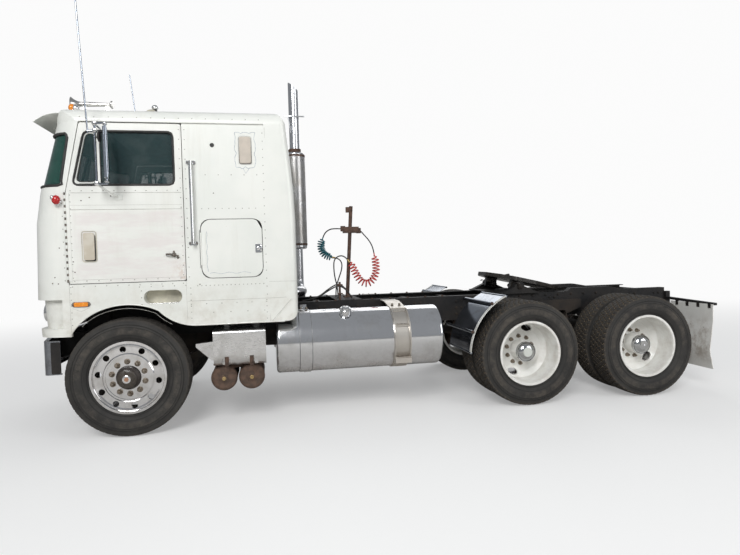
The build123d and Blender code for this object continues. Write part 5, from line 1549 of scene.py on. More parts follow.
@dataclass
class Tyre:
    """A tyre whose surface is a cross-section, from bead to bead, turned about the axle."""

    middle_y: float
    tread: Tread
    bead_r: float = 0.3275
    pitches: int = 60
    depth: float = 0.014
    shoulder: float = 0.122
    crown_drop: float = 0.0045
    zigzag: float = 0.05
    wall_y: tuple[float, ...] = (
        0.104, 0.112, 0.1155, 0.1135, 0.122, 0.133, 0.1365, 0.1345, 0.1385, 0.14, 0.1395, 0.137, 0.1385,
        0.136, 0.1335, 0.1365, 0.132, 0.129, 0.127,
    )
    wall_r: tuple[float, ...] = (
        0.3275, 0.334, 0.3395, 0.342, 0.35, 0.368, 0.376, 0.379, 0.392, 0.412, 0.43, 0.445, 0.449,
        0.453, 0.466, 0.469, 0.473, 0.486, 0.497,
    )

    @property
    def ribs(self) -> Places:
        """Each rib's outer and inner edge, from the shoulder to the middle.

        Returns:
            Pairs of distances from the tyre's middle.
        """
        if self.tread is Tread.BLOCK:
            return (self.shoulder, 0.078), (0.07, 0.028), (0.02, -0.02)
        return (self.shoulder, 0.074), (0.066, 0.016), (0.008, -0.008)

    def section(self) -> tuple[np.ndarray, np.ndarray, np.ndarray, np.ndarray]:
        """Rows of the cross-section.

        Returns:
            The distance from the tyre's middle, the radius, how much of the tread's depth is cut
            there for a block and for the gap between blocks, each from 0 to 1.
        """
        wall_rows = np.zeros(len(self.wall_y))
        rows_y, rows_r, cut, gap = [], [], [], []
        for outer, inner in self.ribs:
            middle = (outer + inner) / 2
            edges = ((outer + 0.0008, 1.0), (outer, 0.0), (middle, 0.0), (inner, 0.0), (inner - 0.0008, 1.0))
            for y, level in edges:
                past = 1 + 0.9 * (abs(y) > self.shoulder - 0.002)
                rows_y.append(y)
                rows_r.append(TYRE_R - self.crown_drop * (abs(y) / self.shoulder) ** 2 * past)
                cut.append(level)
                gap.append(1.0)
        rows_y[0], cut[0] = 0.1265, 0.45
        half = np.array([
            np.concatenate(pair)
            for pair in ((self.wall_y, rows_y), (self.wall_r, rows_r), (wall_rows, cut), (wall_rows, gap))
        ])
        half = half[:, half[0] > -0.0001]
        whole = np.hstack([half, half[:, ::-1] * [[-1.0], [1.0], [1.0], [1.0]]])
        return tuple(whole)

    def shape(self, axle_x: float) -> tuple[Shape, np.ndarray, np.ndarray, np.ndarray]:
        """The tyre about its axle.

        Column k of a pitch stands at a set share of it; the blocks' sides lean in a zigzag,
        because each row's angle is shifted by a share of a pitch that grows across each rib.
        The radius is the section's less the tread depth times the cut.

        Args:
            axle_x: The axle's place from the front axle line.

        Returns:
            The surface and, for each point, whether it is tread, how deep it is cut and its radius.
        """
        y, r, cut, gap = self.section()
        block = self.tread is Tread.BLOCK
        shares, solid = (
            ((0.0, 0.03, 0.36, 0.7, 0.73), (0.0, 1.0, 1.0, 1.0, 0.0)) if block
            else ((0.0, 0.25, 0.5, 0.75, 0.94), (1.0, 1.0, 1.0, 1.0, 0.75))
        )
        angles = (np.arange(self.pitches)[:, None] + np.array(shares)).ravel() * 2 * pi / self.pitches
        between = 1 - np.tile(solid, self.pitches)
        across = y / self.zigzag
        lean = np.where(gap > 0, np.abs(across % 1.0 - 0.5) * (0.7 if block else 0.3), 0.0)
        lean = lean + np.where(gap > 0, np.round(across) * 0.5, 0.0) * block
        turned = angles[:, None] + lean[None] * 2 * pi / self.pitches
        sunk = np.maximum(cut[None] * (gap[None] > 0), between[:, None] * gap[None])
        radius = r[None] - self.depth * sunk
        rows = np.stack(
            [
                axle_x + radius * np.sin(turned),
                np.broadcast_to(self.middle_y + y[None], radius.shape),
                HUB_Z + radius * np.cos(turned),
            ],
            -1,
        )
        bead = rows[:, [-1, 0]].copy()
        bead[..., 1] = self.middle_y + np.array([-0.1, 0.1])
        bead_radius = self.bead_r - 0.012
        bead[..., 0] = axle_x + bead_radius * np.sin(angles)[:, None]
        bead[..., 2] = HUB_Z + bead_radius * np.cos(angles)[:, None]
        rows = np.concatenate([rows, bead], axis=1)
        marks = np.concatenate([(gap > 0).astype(float), [0.0, 0.0]])
        tread_share = np.broadcast_to(marks[None], rows.shape[:2]).ravel()
        groove_share = np.hstack([np.maximum(sunk - 0.5, 0) * 2, np.zeros((len(rows), 2))]).ravel()
        reach = np.hypot(rows[..., 0] - axle_x, rows[..., 2] - HUB_Z).ravel()
        return grid(rows, wrap_u=True, wrap_v=True), tread_share, groove_share, reach


@dataclass
class TyreSet:
    """All ten tyres: two that steer and four pairs that drive."""

    steer_y: float = 1.02
    outer_y: float = 1.076
    inner_y: float = 0.742

    def make(self) -> None:
        """Makes one piece for each CAD tyre node."""
        for side in Side:
            front = f"front_{side.word}"
            self.place(f"{front}_tyre", f"{front}_wheel", side, 0.0, (self.steer_y,), Tread.RIB)
            for axle, axle_x in DRIVE_AXLES.items():
                end = f"{axle}_{side.word}"
                middles = (self.outer_y, self.inner_y)
                self.place(f"{end}_tyres", f"{end}_wheels", side, axle_x, middles, Tread.BLOCK)

    def place(
        self, node: str, body: str, side: Side, axle_x: float, middles: tuple[float, ...], tread: Tread
    ) -> None:
        """Makes the tyres of one axle end.

        Args:
            node: The CAD node that they stand for.
            body: The body that they ride on.
            side: The truck's side.
            axle_x: The axle's place from the front axle line.
            middles: The distance of each tyre's middle from the truck's.
            tread: How they are cut.
        """
        made = [Tyre(middle, tread).shape(axle_x) for middle in middles]
        shape = total(parts[0] for parts in made).on(side)
        piece = fit(f"{node}_tread", shape, TYRE, body, replaces=(node,), smooth=40.0)
        for number, word in enumerate(("tread", "groove", "reach"), 1):
            values = np.concatenate([parts[number] for parts in made]).astype(np.float32)
            piece.data.attributes.new(word, "FLOAT", "POINT").data.foreach_set("value", values)


WALL_HEIGHTS = (0.915, 1.24, 1.89, 2.165, 2.757)
WALL_HALF_WIDTHS = (1.166, 1.17, 1.17, 1.168, 1.158)
WALL_FRONTS = (0.73, 0.749, 0.731, 0.69, 0.535)
CORNER_R = 0.22
OUT = np.array([0.0, 1.0, 0.0])
AHEAD = np.array([1.0, 0.0, 0.0])
RIVET_HEAD = (0.0048, 0.0022)
SCREW_HEAD = (0.006, 0.0025)
RivetRow = tuple[Place, Place, float]
SeamLine = tuple[float, Places]


def on_wall(places: Iterable[Place], proud: float = 0.0) -> np.ndarray:
    """Points on the cab's left wall, whose half width changes with height.

    Args:
        places: Rows of (x from the front axle line, height).
        proud: How far the points stand off the wall.

    Returns:
        Rows of x, y, z.
    """
    rows = np.atleast_2d(np.asarray(places, float))
    half = np.interp(rows[:, 1], WALL_HEIGHTS, WALL_HALF_WIDTHS)
    return np.column_stack([rows[:, 0], half + proud, rows[:, 1]])


def row(start: tuple[float, ...], end: tuple[float, ...], pitch: float) -> np.ndarray:
    """Places along a straight line, about pitch apart, both ends included.

    Args:
        start: The first place.
        end: The last place.
        pitch: About how far apart they are.

    Returns:
        One row for each place.
    """
    low, high = np.array(start, float), np.array(end, float)
    count = max(round(float(np.linalg.norm(high - low)) / pitch), 1)
    return low + (high - low) * np.linspace(0, 1, count + 1)[:, None]


def arc_through(first: Place, middle: Place, last: Place, steps: int) -> np.ndarray:
    """Points along the arc through three points.

    The centre is where the upright bisectors of the two chords meet; the angle runs evenly from
    the first point's to the last one's, the way that passes the middle point.

    Args:
        first: Where the arc starts.
        middle: A point that it passes.
        last: Where it ends.
        steps: How many points it is given.

    Returns:
        Rows of two numbers.
    """
    a, b, c = (np.array(point, float) for point in (first, middle, last))
    chords = 2 * np.array([b - a, c - b])
    centre = np.linalg.solve(chords, np.array([b @ b - a @ a, c @ c - b @ b]))
    start, mid, end = (np.arctan2(*(point - centre)[::-1]) for point in (a, b, c))
    mid = start + (mid - start + pi) % (2 * pi) - pi
    end = mid + (end - mid + pi) % (2 * pi) - pi
    angles = np.linspace(start, end, steps)
    return centre + np.linalg.norm(a - centre) * np.stack([np.cos(angles), np.sin(angles)], -1)


def rivets(rows: Iterable[RivetRow]) -> Shape:
    """Rivet heads on the left wall along rows, each given by its ends and its pitch."""
    places = np.vstack([row(start, end, pitch) for start, end, pitch in rows])
    return dome(*RIVET_HEAD).at_each(on_wall(places), OUT)


def seam(points: Iterable[Place], radius: float, closed: bool = False, proud: float = 0.0) -> Shape:
    """A thin raised line along points on the left wall."""
    return tube(on_wall(points, proud), radius, 6, closed)


def seams(lines: Iterable[SeamLine]) -> Shape:
    """Several thin raised lines, each given by its radius and its points."""
    return total([seam(points, radius) for radius, points in lines])


ARCH = np.vstack([
    arc_through((0.453, 0.917), (0.33, 1.062), (0.18, 1.143), 12),
    arc_through((0.18, 1.143), (-0.06, 1.174), (-0.282, 1.113), 16)[1:],
    arc_through((-0.282, 1.113), (-0.44, 1.0), (-0.59, 0.967), 12)[1:],
])


@dataclass
class CabWalls:
    """The riveted side walls of the cab with their seams, hatch seals, vents and small holes."""

    rivet_rows: tuple[RivetRow, ...] = (
        ((-0.553, 1.4), (-0.553, 2.7), 0.085), ((-1.228, 1.22), (-1.228, 2.68), 0.072),
        ((-0.72, 2.303), (-1.17, 2.303), 0.11), ((-0.68, 2.003), (-1.15, 2.003), 0.058),
        ((-0.62, 1.318), (-1.2, 1.318), 0.036), ((-0.56, 1.155), (-1.22, 1.155), 0.12),
        ((0.41, 1.345), (-0.5, 1.345), 0.092), ((0.424, 0.96), (0.424, 1.34), 0.052),
        ((-0.56, 1.03), (-0.56, 1.3), 0.05), ((-1.222, 1.0), (-1.222, 1.17), 0.05),
        ((-0.13, 1.325), (-0.52, 1.325), 0.1), ((-0.145, 1.17), (-0.145, 1.29), 0.06),
        ((-0.75, 1.075), (-1.2, 1.075), 0.15), ((0.465, 1.4), (0.465, 2.06), 0.11),
    )
    screws: Places = (
        (0.52, 1.375), (0.565, 1.38), (0.545, 1.43), (0.5, 1.68), (-0.785, 2.14), (-0.64, 1.33),
    )
    seam_lines: tuple[SeamLine, ...] = (
        (0.0016, ((0.436, 0.94), (0.436, 1.366))),
        (0.0016, ((-0.535, 1.184), (-1.25, 1.184), (-1.4, 1.186))),
        (0.0013, ((-1.25, 0.972), (-1.25, 2.73))),
        (0.0013, ((-1.25, 1.335), (-1.49, 1.332))),
        (0.0012, ((-0.524, 1.02), (-0.524, 1.36))),
        (0.0016, ((-1.268, 0.975), (-1.445, 1.168))),
        (0.001, ((0.42, 1.16), (0.35, 1.13), (0.285, 1.16))),
    )
    roof_corner: Place = (1.033, 2.757)
    roof_corner_r: float = 0.125
    roof_rivet_angle: float = 20.0
    crease_away: float = 0.034
    crease_low_z: float = 0.985
    sill: Places = ((-0.75, 0.9665), (-1.0, 0.9665), (-1.38, 0.9665))
    fold: Places = ((-1.276, 0.975), (-1.455, 1.17))
    hatch_middle: Place = (-0.931, 1.645)
    hatch_half: Place = (0.269, 0.263)
    hinge_line: Places = ((-0.653, 1.475), (-0.653, 1.815))
    vent_middle: Place = (-1.074, 2.524)
    hole_middle: Place = (-0.787, 2.566)
    handle_x: float = -0.6
    handle_ends: Place = (1.695, 2.41)

    def make(self) -> None:
        """Makes the pieces of both walls."""
        self.heads()
        self.lines()
        self.hatch_seal()
        self.sleeper_vent()
        self.handle_and_step()

    def heads(self) -> None:
        """The rivet heads, in rows along each seam at their real pitch, and a few dark screws."""
        fit_both("{}_wall_rivets", rivets(self.rivet_rows), RIVET, "cab")
        angle = radians(self.roof_rivet_angle)
        out = np.array([0.0, cos(angle), sin(angle)])
        spots = row((0.3, *self.roof_corner), (-1.2, *self.roof_corner), 0.115) + self.roof_corner_r * out
        fit_both("{}_roof_rivets", dome(*RIVET_HEAD).at_each(spots, out), RIVET, "cab")
        fit_both("{}_dark_screws", dome(0.0055, 0.0025).at_each(on_wall(self.screws), OUT), DARK_SCREW, "cab")

    def lines(self) -> None:
        """Seam lines, the rolled lip of the wheel arch with its crease, and the folded lower corner.

        The crease is the arch's line moved square to itself, cut off near the arch's feet.
        """
        slopes = np.gradient(ARCH, axis=0)
        slopes /= np.linalg.norm(slopes, axis=1, keepdims=True)
        crease = ARCH - self.crease_away * np.column_stack([slopes[:, 1], -slopes[:, 0]])
        crease = crease[crease[:, 1] > self.crease_low_z]
        fit_both("{}_wall_seams", seams(self.seam_lines) + seam(crease, 0.0018), FINE_SEAM, "cab")
        lip = tube(on_wall(np.vstack([ARCH, self.sill]), -0.003), 0.0065, 8)
        fit_both("{}_arch_lip", lip + tube(on_wall(self.fold, -0.001), 0.005, 8), CAB_WHITE, "cab")

    def hatch_seal(self) -> None:
        """The rubber round the luggage door, with the line of its hinge."""
        outline = framed(*about(self.hatch_middle, *self.hatch_half), 0.093)
        seal = seam(outline, 0.0032, closed=True, proud=-0.0015) + seam(self.hinge_line, 0.0022, proud=0.0005)
        fit_both("{}_hatch_seal", seal, BLACK_RUBBER, "cab")

    def sleeper_vent(self) -> None:
        """The sleeper vent with its rim, the old sealant round it, and the round hole beside it.

        The sealant follows a squared circle, a circle divided by the larger of its cosine and
        sine, whose size wanders by two sine waves and is cut off at the vent's top and foot.
        """
        x, z = self.vent_middle
        vent = plate(*about(self.vent_middle, 0.05, 0.118), 0.016, 1.1715, 0.007, 0.003)
        fit_both("{}_sleeper_vent", vent, SLEEPER_BEIGE, "cab")
        rim = seam(framed(*about(self.vent_middle, 0.053, 0.1215), 0.018), 0.0035, closed=True, proud=0.0075)
        fit_both("{}_sleeper_vent_rim", rim, SEAM, "cab")
        turn = np.linspace(0, 2 * pi, 90, endpoint=False)
        wobble = 0.006 * np.sin(turn * 9) + 0.004 * np.sin(turn * 14 + 1.0)
        square = np.maximum(np.abs(np.cos(turn)), np.abs(np.sin(turn)))
        loop = np.column_stack([
            x + (0.088 + wobble) * np.cos(turn) / square, z + (0.158 + wobble) * np.sin(turn) / square,
        ])
        loop = np.clip(loop, (x - 0.092, z - 0.17), (x + 0.092, z + 0.16))
        drip = seam([(x + 0.02, z - 0.165), (x, z - 0.21), (x - 0.03, z - 0.165)], 0.0017)
        fit_both("{}_vent_sealant", seam(loop, 0.0019, closed=True) + drip, SEALANT, "cab")
        hole = on_wall([self.hole_middle])
        ring_shape = lathe([(0.0, 0.024), (0.003, 0.0235), (0.003, 0.0195), (0.0012, 0.019)], 24)
        fit_both("{}_hole_ring", ring_shape.at_each(hole, OUT), CAB_WHITE, "cab")
        shade = lathe([(0.0, 0.0192), (0.0014, 0.019), (0.0015, 0.0003)], 24)
        fit_both("{}_hole_shade", shade.at_each(hole, OUT), BLACK_RUBBER, "cab")

    def handle_and_step(self) -> None:
        """The grab handle's feet with their bolts, and the step well's back and plate."""
        x = self.handle_x
        feet = [plate(*about((x, z), 0.04, 0.016), 0.012, 1.1705, 0.006, 0.002) for z in self.handle_ends]
        fit_both("{}_handle_feet", total(feet), CHROME, "cab")
        spots = on_wall([(x + away, z) for away in (-0.028, 0.028) for z in self.handle_ends], 0.006)
        fit_both("{}_handle_bolts", hex_nut(0.014, 0.007, 0.009).at_each(spots, OUT), DARK_SCREW, "cab")
        well = plate((-0.482, 1.1745), (-0.166, 1.2875), 0.055, 1.058, 0.002, 0.001)
        fit_both("{}_step_well", well, STEP_BEIGE, "cab")
        tread = slab(framed((-0.46, 1.06), (-0.18, 1.13), 0.02), 0.002, 0.001).moved(z=1.1725)
        fit_both("{}_step_plate", tread, BOX_ALUMINIUM, "cab")


@dataclass
class DoorTrim:
    """What is on each door: window rubber, hinge knuckles, seams, air door, handle and mirror fittings."""

    window: Places = ((-0.455, 2.215), (0.376, 2.215), (0.27, 2.678), (-0.455, 2.678))
    vent_pane: Places = ((0.185, 2.245), (0.345, 2.245), (0.255, 2.652), (0.185, 2.652))
    vent_frame: Places = ((0.176, 2.233), (0.36, 2.233), (0.264, 2.664), (0.176, 2.664))
    glass_run: Places = ((-0.447, 2.223), (0.15, 2.223), (0.15, 2.67), (-0.447, 2.67))
    rivet_rows: tuple[RivetRow, ...] = (
        ((-0.505, 1.42), (-0.505, 2.7), 0.085), ((0.4, 1.42), (0.4, 2.13), 0.058),
        ((0.395, 2.166), (-0.48, 2.166), 0.084), ((0.39, 1.392), (-0.48, 1.392), 0.1),
    )
    seam_lines: tuple[SeamLine, ...] = (
        (0.0018, ((0.4, 2.148), (-0.512, 2.148))), (0.0022, ((0.4, 2.004), (-0.512, 2.004))),
        (0.001, ((0.4, 2.042), (-0.512, 2.042))), (0.0012, ((0.42, 1.402), (-0.515, 1.402))),
        (0.0012, ((-0.515, 1.39), (-0.515, 2.735))),
    )
    screws: Places = ((0.073, 2.12), (0.312, 2.082), (0.245, 2.108), (0.385, 1.47), (0.395, 1.56))
    hinge: Place = (0.4395, 1.178)
    hinge_span: Place = (1.396, 2.14)
    knuckle_pitch: float = 0.0518
    mirror_middle: Place = (0.045, 1.37)
    mirror_face: tuple[Place, Place] = ((-0.078, 2.252), (0.078, 2.643))
    mirror_half_depth: float = 0.0163
    mirror_turn: float = 10.0

    def make(self) -> None:
        """Makes both doors' trim."""
        self.window_trim()
        self.sheet()
        self.hinge_knuckles()
        self.air_door()
        self.handle()
        self.mirror_glass()
        self.mirror_post()

    def window_trim(self) -> None:
        """The black rubber round the opening, the vent pane's white frame and the glass run."""
        rubber = [
            tube(on_wall(rounded(outline, corner), proud), radius, sides, True)
            for outline, corner, proud, radius, sides in (
                (self.window, 0.055, -0.003, 0.0105, 8),
                (self.vent_pane, 0.05, -0.024, 0.005, 6),
                (self.glass_run, 0.02, -0.022, 0.006, 6),
            )
        ]
        fit_both("{}_window_rubber", total(rubber), BLACK_RUBBER, "{}_door")
        frame_ring = tube(on_wall(rounded(self.vent_frame, 0.055), -0.012), 0.0075, 8, True)
        fit_both("{}_vent_frame", frame_ring, CAB_WHITE, "{}_door")

    def sheet(self) -> None:
        """Rivets, seams and a few screws of the door's skin."""
        fit_both("{}_door_rivets", rivets(self.rivet_rows), RIVET, "{}_door")
        fit_both("{}_door_seams", seams(self.seam_lines), FINE_SEAM, "{}_door")
        heads = dome(*SCREW_HEAD).at_each(on_wall(self.screws), OUT)
        fit_both("{}_door_screws", heads, DARK_SCREW, "{}_door")

    def hinge_knuckles(self) -> None:
        """The hinge's knuckles, dark and white by turns, up the door's front edge."""
        low, high = self.hinge_span
        places = row((*self.hinge, low), (*self.hinge, high), self.knuckle_pitch)
        between = places[:-1] + [0.0, 0.0, self.knuckle_pitch / 2]
        for name, spots, half, radius, finish in (
            ("knuckles", places, 0.011, 0.0078, DARK_SCREW), ("sleeves", between, 0.012, 0.0076, CAB_WHITE),
        ):
            sleeve = lathe([(-half, 0.0066), (-half, radius), (half, radius), (half, 0.0066)], 12)
            fit_both(f"{{}}_door_hinge_{name}", sleeve.at_each(spots), finish, "{}_door")

    def air_door(self) -> None:
        """The half-open air door, a black plate behind its rear and bottom edges as painted shadow in the
        gap, and the rim round both.
        """
        flap = plate((0.216, 1.569), (0.306, 1.805), 0.018, 1.174, 0.016, 0.004)
        fit_both("{}_door_air_door", flap, BEIGE, "{}_door")
        # Painted shadow: a black plate that shows at the air door's rear and bottom edges.
        gap = plate((0.2085, 1.5615), (0.3, 1.79), 0.02, 1.1755, 0.003, 0.001)
        fit_both("{}_door_air_door_gap", gap, BLACK_RUBBER, "{}_door")
        rim = seam(framed((0.203, 1.557), (0.318, 1.818), 0.022), 0.0028, closed=True, proud=0.005)
        fit_both("{}_door_air_door_rim", rim, STEP_BEIGE, "{}_door")

    def handle(self) -> None:
        """The handle's lever on its round boss, two posts and the bright arm."""
        path = [(-0.365, 1.186, 1.606), (-0.4, 1.2, 1.607), (-0.435, 1.197, 1.6), (-0.472, 1.188, 1.586)]
        boss = lathe([(0.0, 0.021), (0.012, 0.019), (0.022, 0.012), (0.024, 0.0003)], 16)
        boss = boss.at_each(np.array([-0.43, 1.176, 1.6]), OUT)
        posts = dome(0.009, 0.004).at_each(on_wall([(-0.43, 1.628), (-0.462, 1.572)], 0.005), OUT)
        fit_both("{}_door_handle", tube(path, 0.0075, 8) + boss + posts, DARK_SCREW, "{}_door", "chrome")
        arm = tube([(-0.362, 1.184, 1.594), (-0.41, 1.192, 1.592)], 0.005, 8)
        fit_both("{}_door_handle_arm", arm, CHROME, "{}_door")

    def mirror_glass(self) -> None:
        """The mirror's glass on its rear face, and the round spot mirror on its arm."""
        (x, y), turn = self.mirror_middle, radians(self.mirror_turn)
        glass = slab(framed(*self.mirror_face, 0.012), 0.002, 0.001).to_front()
        glass = glass.turned("Z", 180.0 + self.mirror_turn)
        glass = glass.moved(x - self.mirror_half_depth * cos(turn), y - self.mirror_half_depth * sin(turn))
        fit_both("{}_mirror_glass", glass, MIRROR_FACE, "{}_door")
        bowl = lathe([
            (0.0, 0.001), (0.004, 0.022), (0.01, 0.038), (0.02, 0.046), (0.024, 0.046), (0.025, 0.043),
            (0.025, 0.001),
        ], 24)
        bowl = bowl.turned("Y", -90.0).moved(0.112, 1.362, 2.585)
        arm = tube([(0.13, 1.335, 2.585), (0.105, 1.355, 2.585)], 0.006, 8)
        fit_both("{}_spot_mirror", bowl + arm, BLACK_RUBBER, "{}_door")

    def mirror_post(self) -> None:
        """The clamps on the mirror's post and head with their bolts, and the stay below."""
        clamps = []
        for x, y, half, bevel, heights in (
            (0.135, 1.33, (0.017, 0.018, 0.016), 0.006, (2.7, 2.64, 2.205)),
            (0.046, 1.37, (0.016, 0.018, 0.008), 0.004, (2.69, 2.215)),
        ):
            clamps += [block((x, y, z), half, bevel) for z in heights]
            spots = np.array([(x, y + 0.019, z) for z in heights])
            clamps.append(hex_nut(0.014, 0.012, 0.009).at_each(spots, OUT))
        fit_both("{}_mirror_clamps", total(clamps), CHROME, "{}_door")
        stay = tube([(0.132, 1.325, 2.198), (0.072, 1.245, 2.15), (0.012, 1.18, 2.112)], 0.009, 8)
        foot = plate((-0.025, 2.085), (0.04, 2.13), 0.01, 1.168, 0.008, 0.002)
        fit_both("{}_mirror_stay", stay + foot, CAB_WHITE, "{}_door")


@dataclass
class HatchTrim:
    """The latch and old sealant on each luggage door."""

    latch_middle: Place = (-1.162, 1.64)

    def make(self) -> None:
        """Makes both doors' latches, a little past the door's rear edge, and two lines of sealant."""
        backing = plate((-1.19, 1.6), (-1.135, 1.68), 0.008, 1.169, 0.006, 0.002)
        barrel = lathe([(0.0, 0.017), (0.008, 0.016), (0.01, 0.011), (0.01, 0.0003)], 16)
        barrel = barrel.at_each(on_wall([self.latch_middle], 0.004), OUT)
        grip = box_shape((-1.1935, 1.174, 1.612), (-1.18, 1.184, 1.668), 0.003)
        fit_both("{}_luggage_door_latch", backing + barrel + grip, CHROME, "{}_luggage_door")
        share = np.linspace(0, 1, 40)
        down = np.column_stack([-0.712 - 0.004 * np.sin(share * 21), 1.8 - 0.36 * share])
        along = np.column_stack([-0.73 - 0.36 * share, 1.425 + 0.006 * np.sin(share * 17)])
        marks = seam(down, 0.0014) + seam(along, 0.0014)
        fit_both("{}_luggage_door_sealant", marks, SEALANT, "{}_luggage_door")


def ellipsoid(centre: Point, half: Point, rows: int = 10, columns: int = 20) -> Shape:
    """A closed ball stretched to three half sizes about a centre.

    The point at height angle v and turn u is the centre plus the half sizes times
    (cos v cos u, cos v sin u, sin v).

    Args:
        centre: Its middle.
        half: Its half sizes along x, y and z.
        rows: Points from foot to top.
        columns: Points round it.

    Returns:
        The stretched ball.
    """
    v = np.linspace(-pi / 2, pi / 2, rows)
    v[0], v[-1] = v[0] + 0.001, v[-1] - 0.001
    u = np.linspace(0, 2 * pi, columns, endpoint=False)
    ball = np.stack([
        np.cos(u)[:, None] * np.cos(v)[None], np.sin(u)[:, None] * np.cos(v)[None],
        np.broadcast_to(np.sin(v), (columns, rows)),
    ], -1)
    return grid(ball * np.array(half) + np.array(centre), wrap_u=True)


@dataclass
class CabLamps:
    """Every lamp on the cab, each with its own lens, in place of the plain CAD lamps."""

    head_places: Place = (0.66, 0.85)
    head_z: float = 1.11
    bezel: Places = (
        (0.676, 0.081), (0.722, 0.081), (0.731, 0.079), (0.734, 0.074), (0.731, 0.07), (0.722, 0.068),
    )
    bowl: Places = ((0.68, 0.0005), (0.688, 0.03), (0.704, 0.055), (0.722, 0.068))
    lens: Places = (
        (0.724, 0.0685), (0.731, 0.062), (0.736, 0.045), (0.739, 0.022), (0.74, 0.0005),
    )
    marker_x: float = 0.395
    marker_z: float = 2.915
    marker_ys: tuple[float, ...] = (0.0, 0.17, -0.17, 0.98, -0.98)

    def make(self) -> None:
        """Makes the lamps of both sides; the headlamp bezels stand for the CAD node."""
        spots = np.array([[0.0, y * side.value, self.head_z] for y in self.head_places for side in Side])
        rims = (lathe(self.bezel, 40) + lathe(self.bowl, 40)).at_each(spots, AHEAD)
        fit("headlamp_bezels", rims, CHROME, "cab", replaces=("lamps",))
        fit("headlamp_lenses", lathe(self.lens, 40).at_each(spots, AHEAD), CLEAR_LENS, "cab")
        self.side_lamps()
        self.roof_lamps()

    def side_lamps(self) -> None:
        """The amber marker with its dark ends, and the red bullet lamp on its foot."""
        lens = plate((0.29, 1.173), (0.404, 1.211), 0.014, 1.17, 0.017, 0.006)
        fit_both("{}_side_marker", lens, AMBER, "cab")
        base = plate((0.2745, 1.17), (0.4195, 1.214), 0.02, 1.1695, 0.008, 0.003)
        caps = dome(0.012, 0.008, 12).at_each(on_wall([(0.282, 1.192), (0.412, 1.192)], 0.006), OUT)
        fit_both("{}_marker_base", base + caps, DARK_SCREW, "cab")
        fit_both("{}_bullet_lamp", ellipsoid((0.497, 1.206, 2.086), (0.034, 0.031, 0.04)), RED_LENS, "cab")
        foot = ellipsoid((0.492, 1.18, 2.072), (0.03, 0.018, 0.034))
        foot = foot + ellipsoid((0.522, 1.208, 2.104), (0.018, 0.026, 0.022))
        fit_both("{}_bullet_foot", foot, CHROME, "cab")

    def roof_lamps(self) -> None:
        """Five amber lamps along the brow, each an amber nose on a low bright foot."""
        x, z = self.marker_x, self.marker_z
        noses = [ellipsoid((x + 0.012, y, z), (0.028, 0.034, 0.034)) for y in self.marker_ys]
        fit("roof_markers", total(noses), AMBER, "cab")
        shells = [ellipsoid((x - 0.018, y, z - 0.004), (0.034, 0.031, 0.03)) for y in self.marker_ys]
        feet = [block((x - 0.007, y, z - 0.0225), (0.027, 0.022, 0.0125), 0.006) for y in self.marker_ys]
        fit("roof_marker_bodies", total(shells + feet), CHROME, "cab")


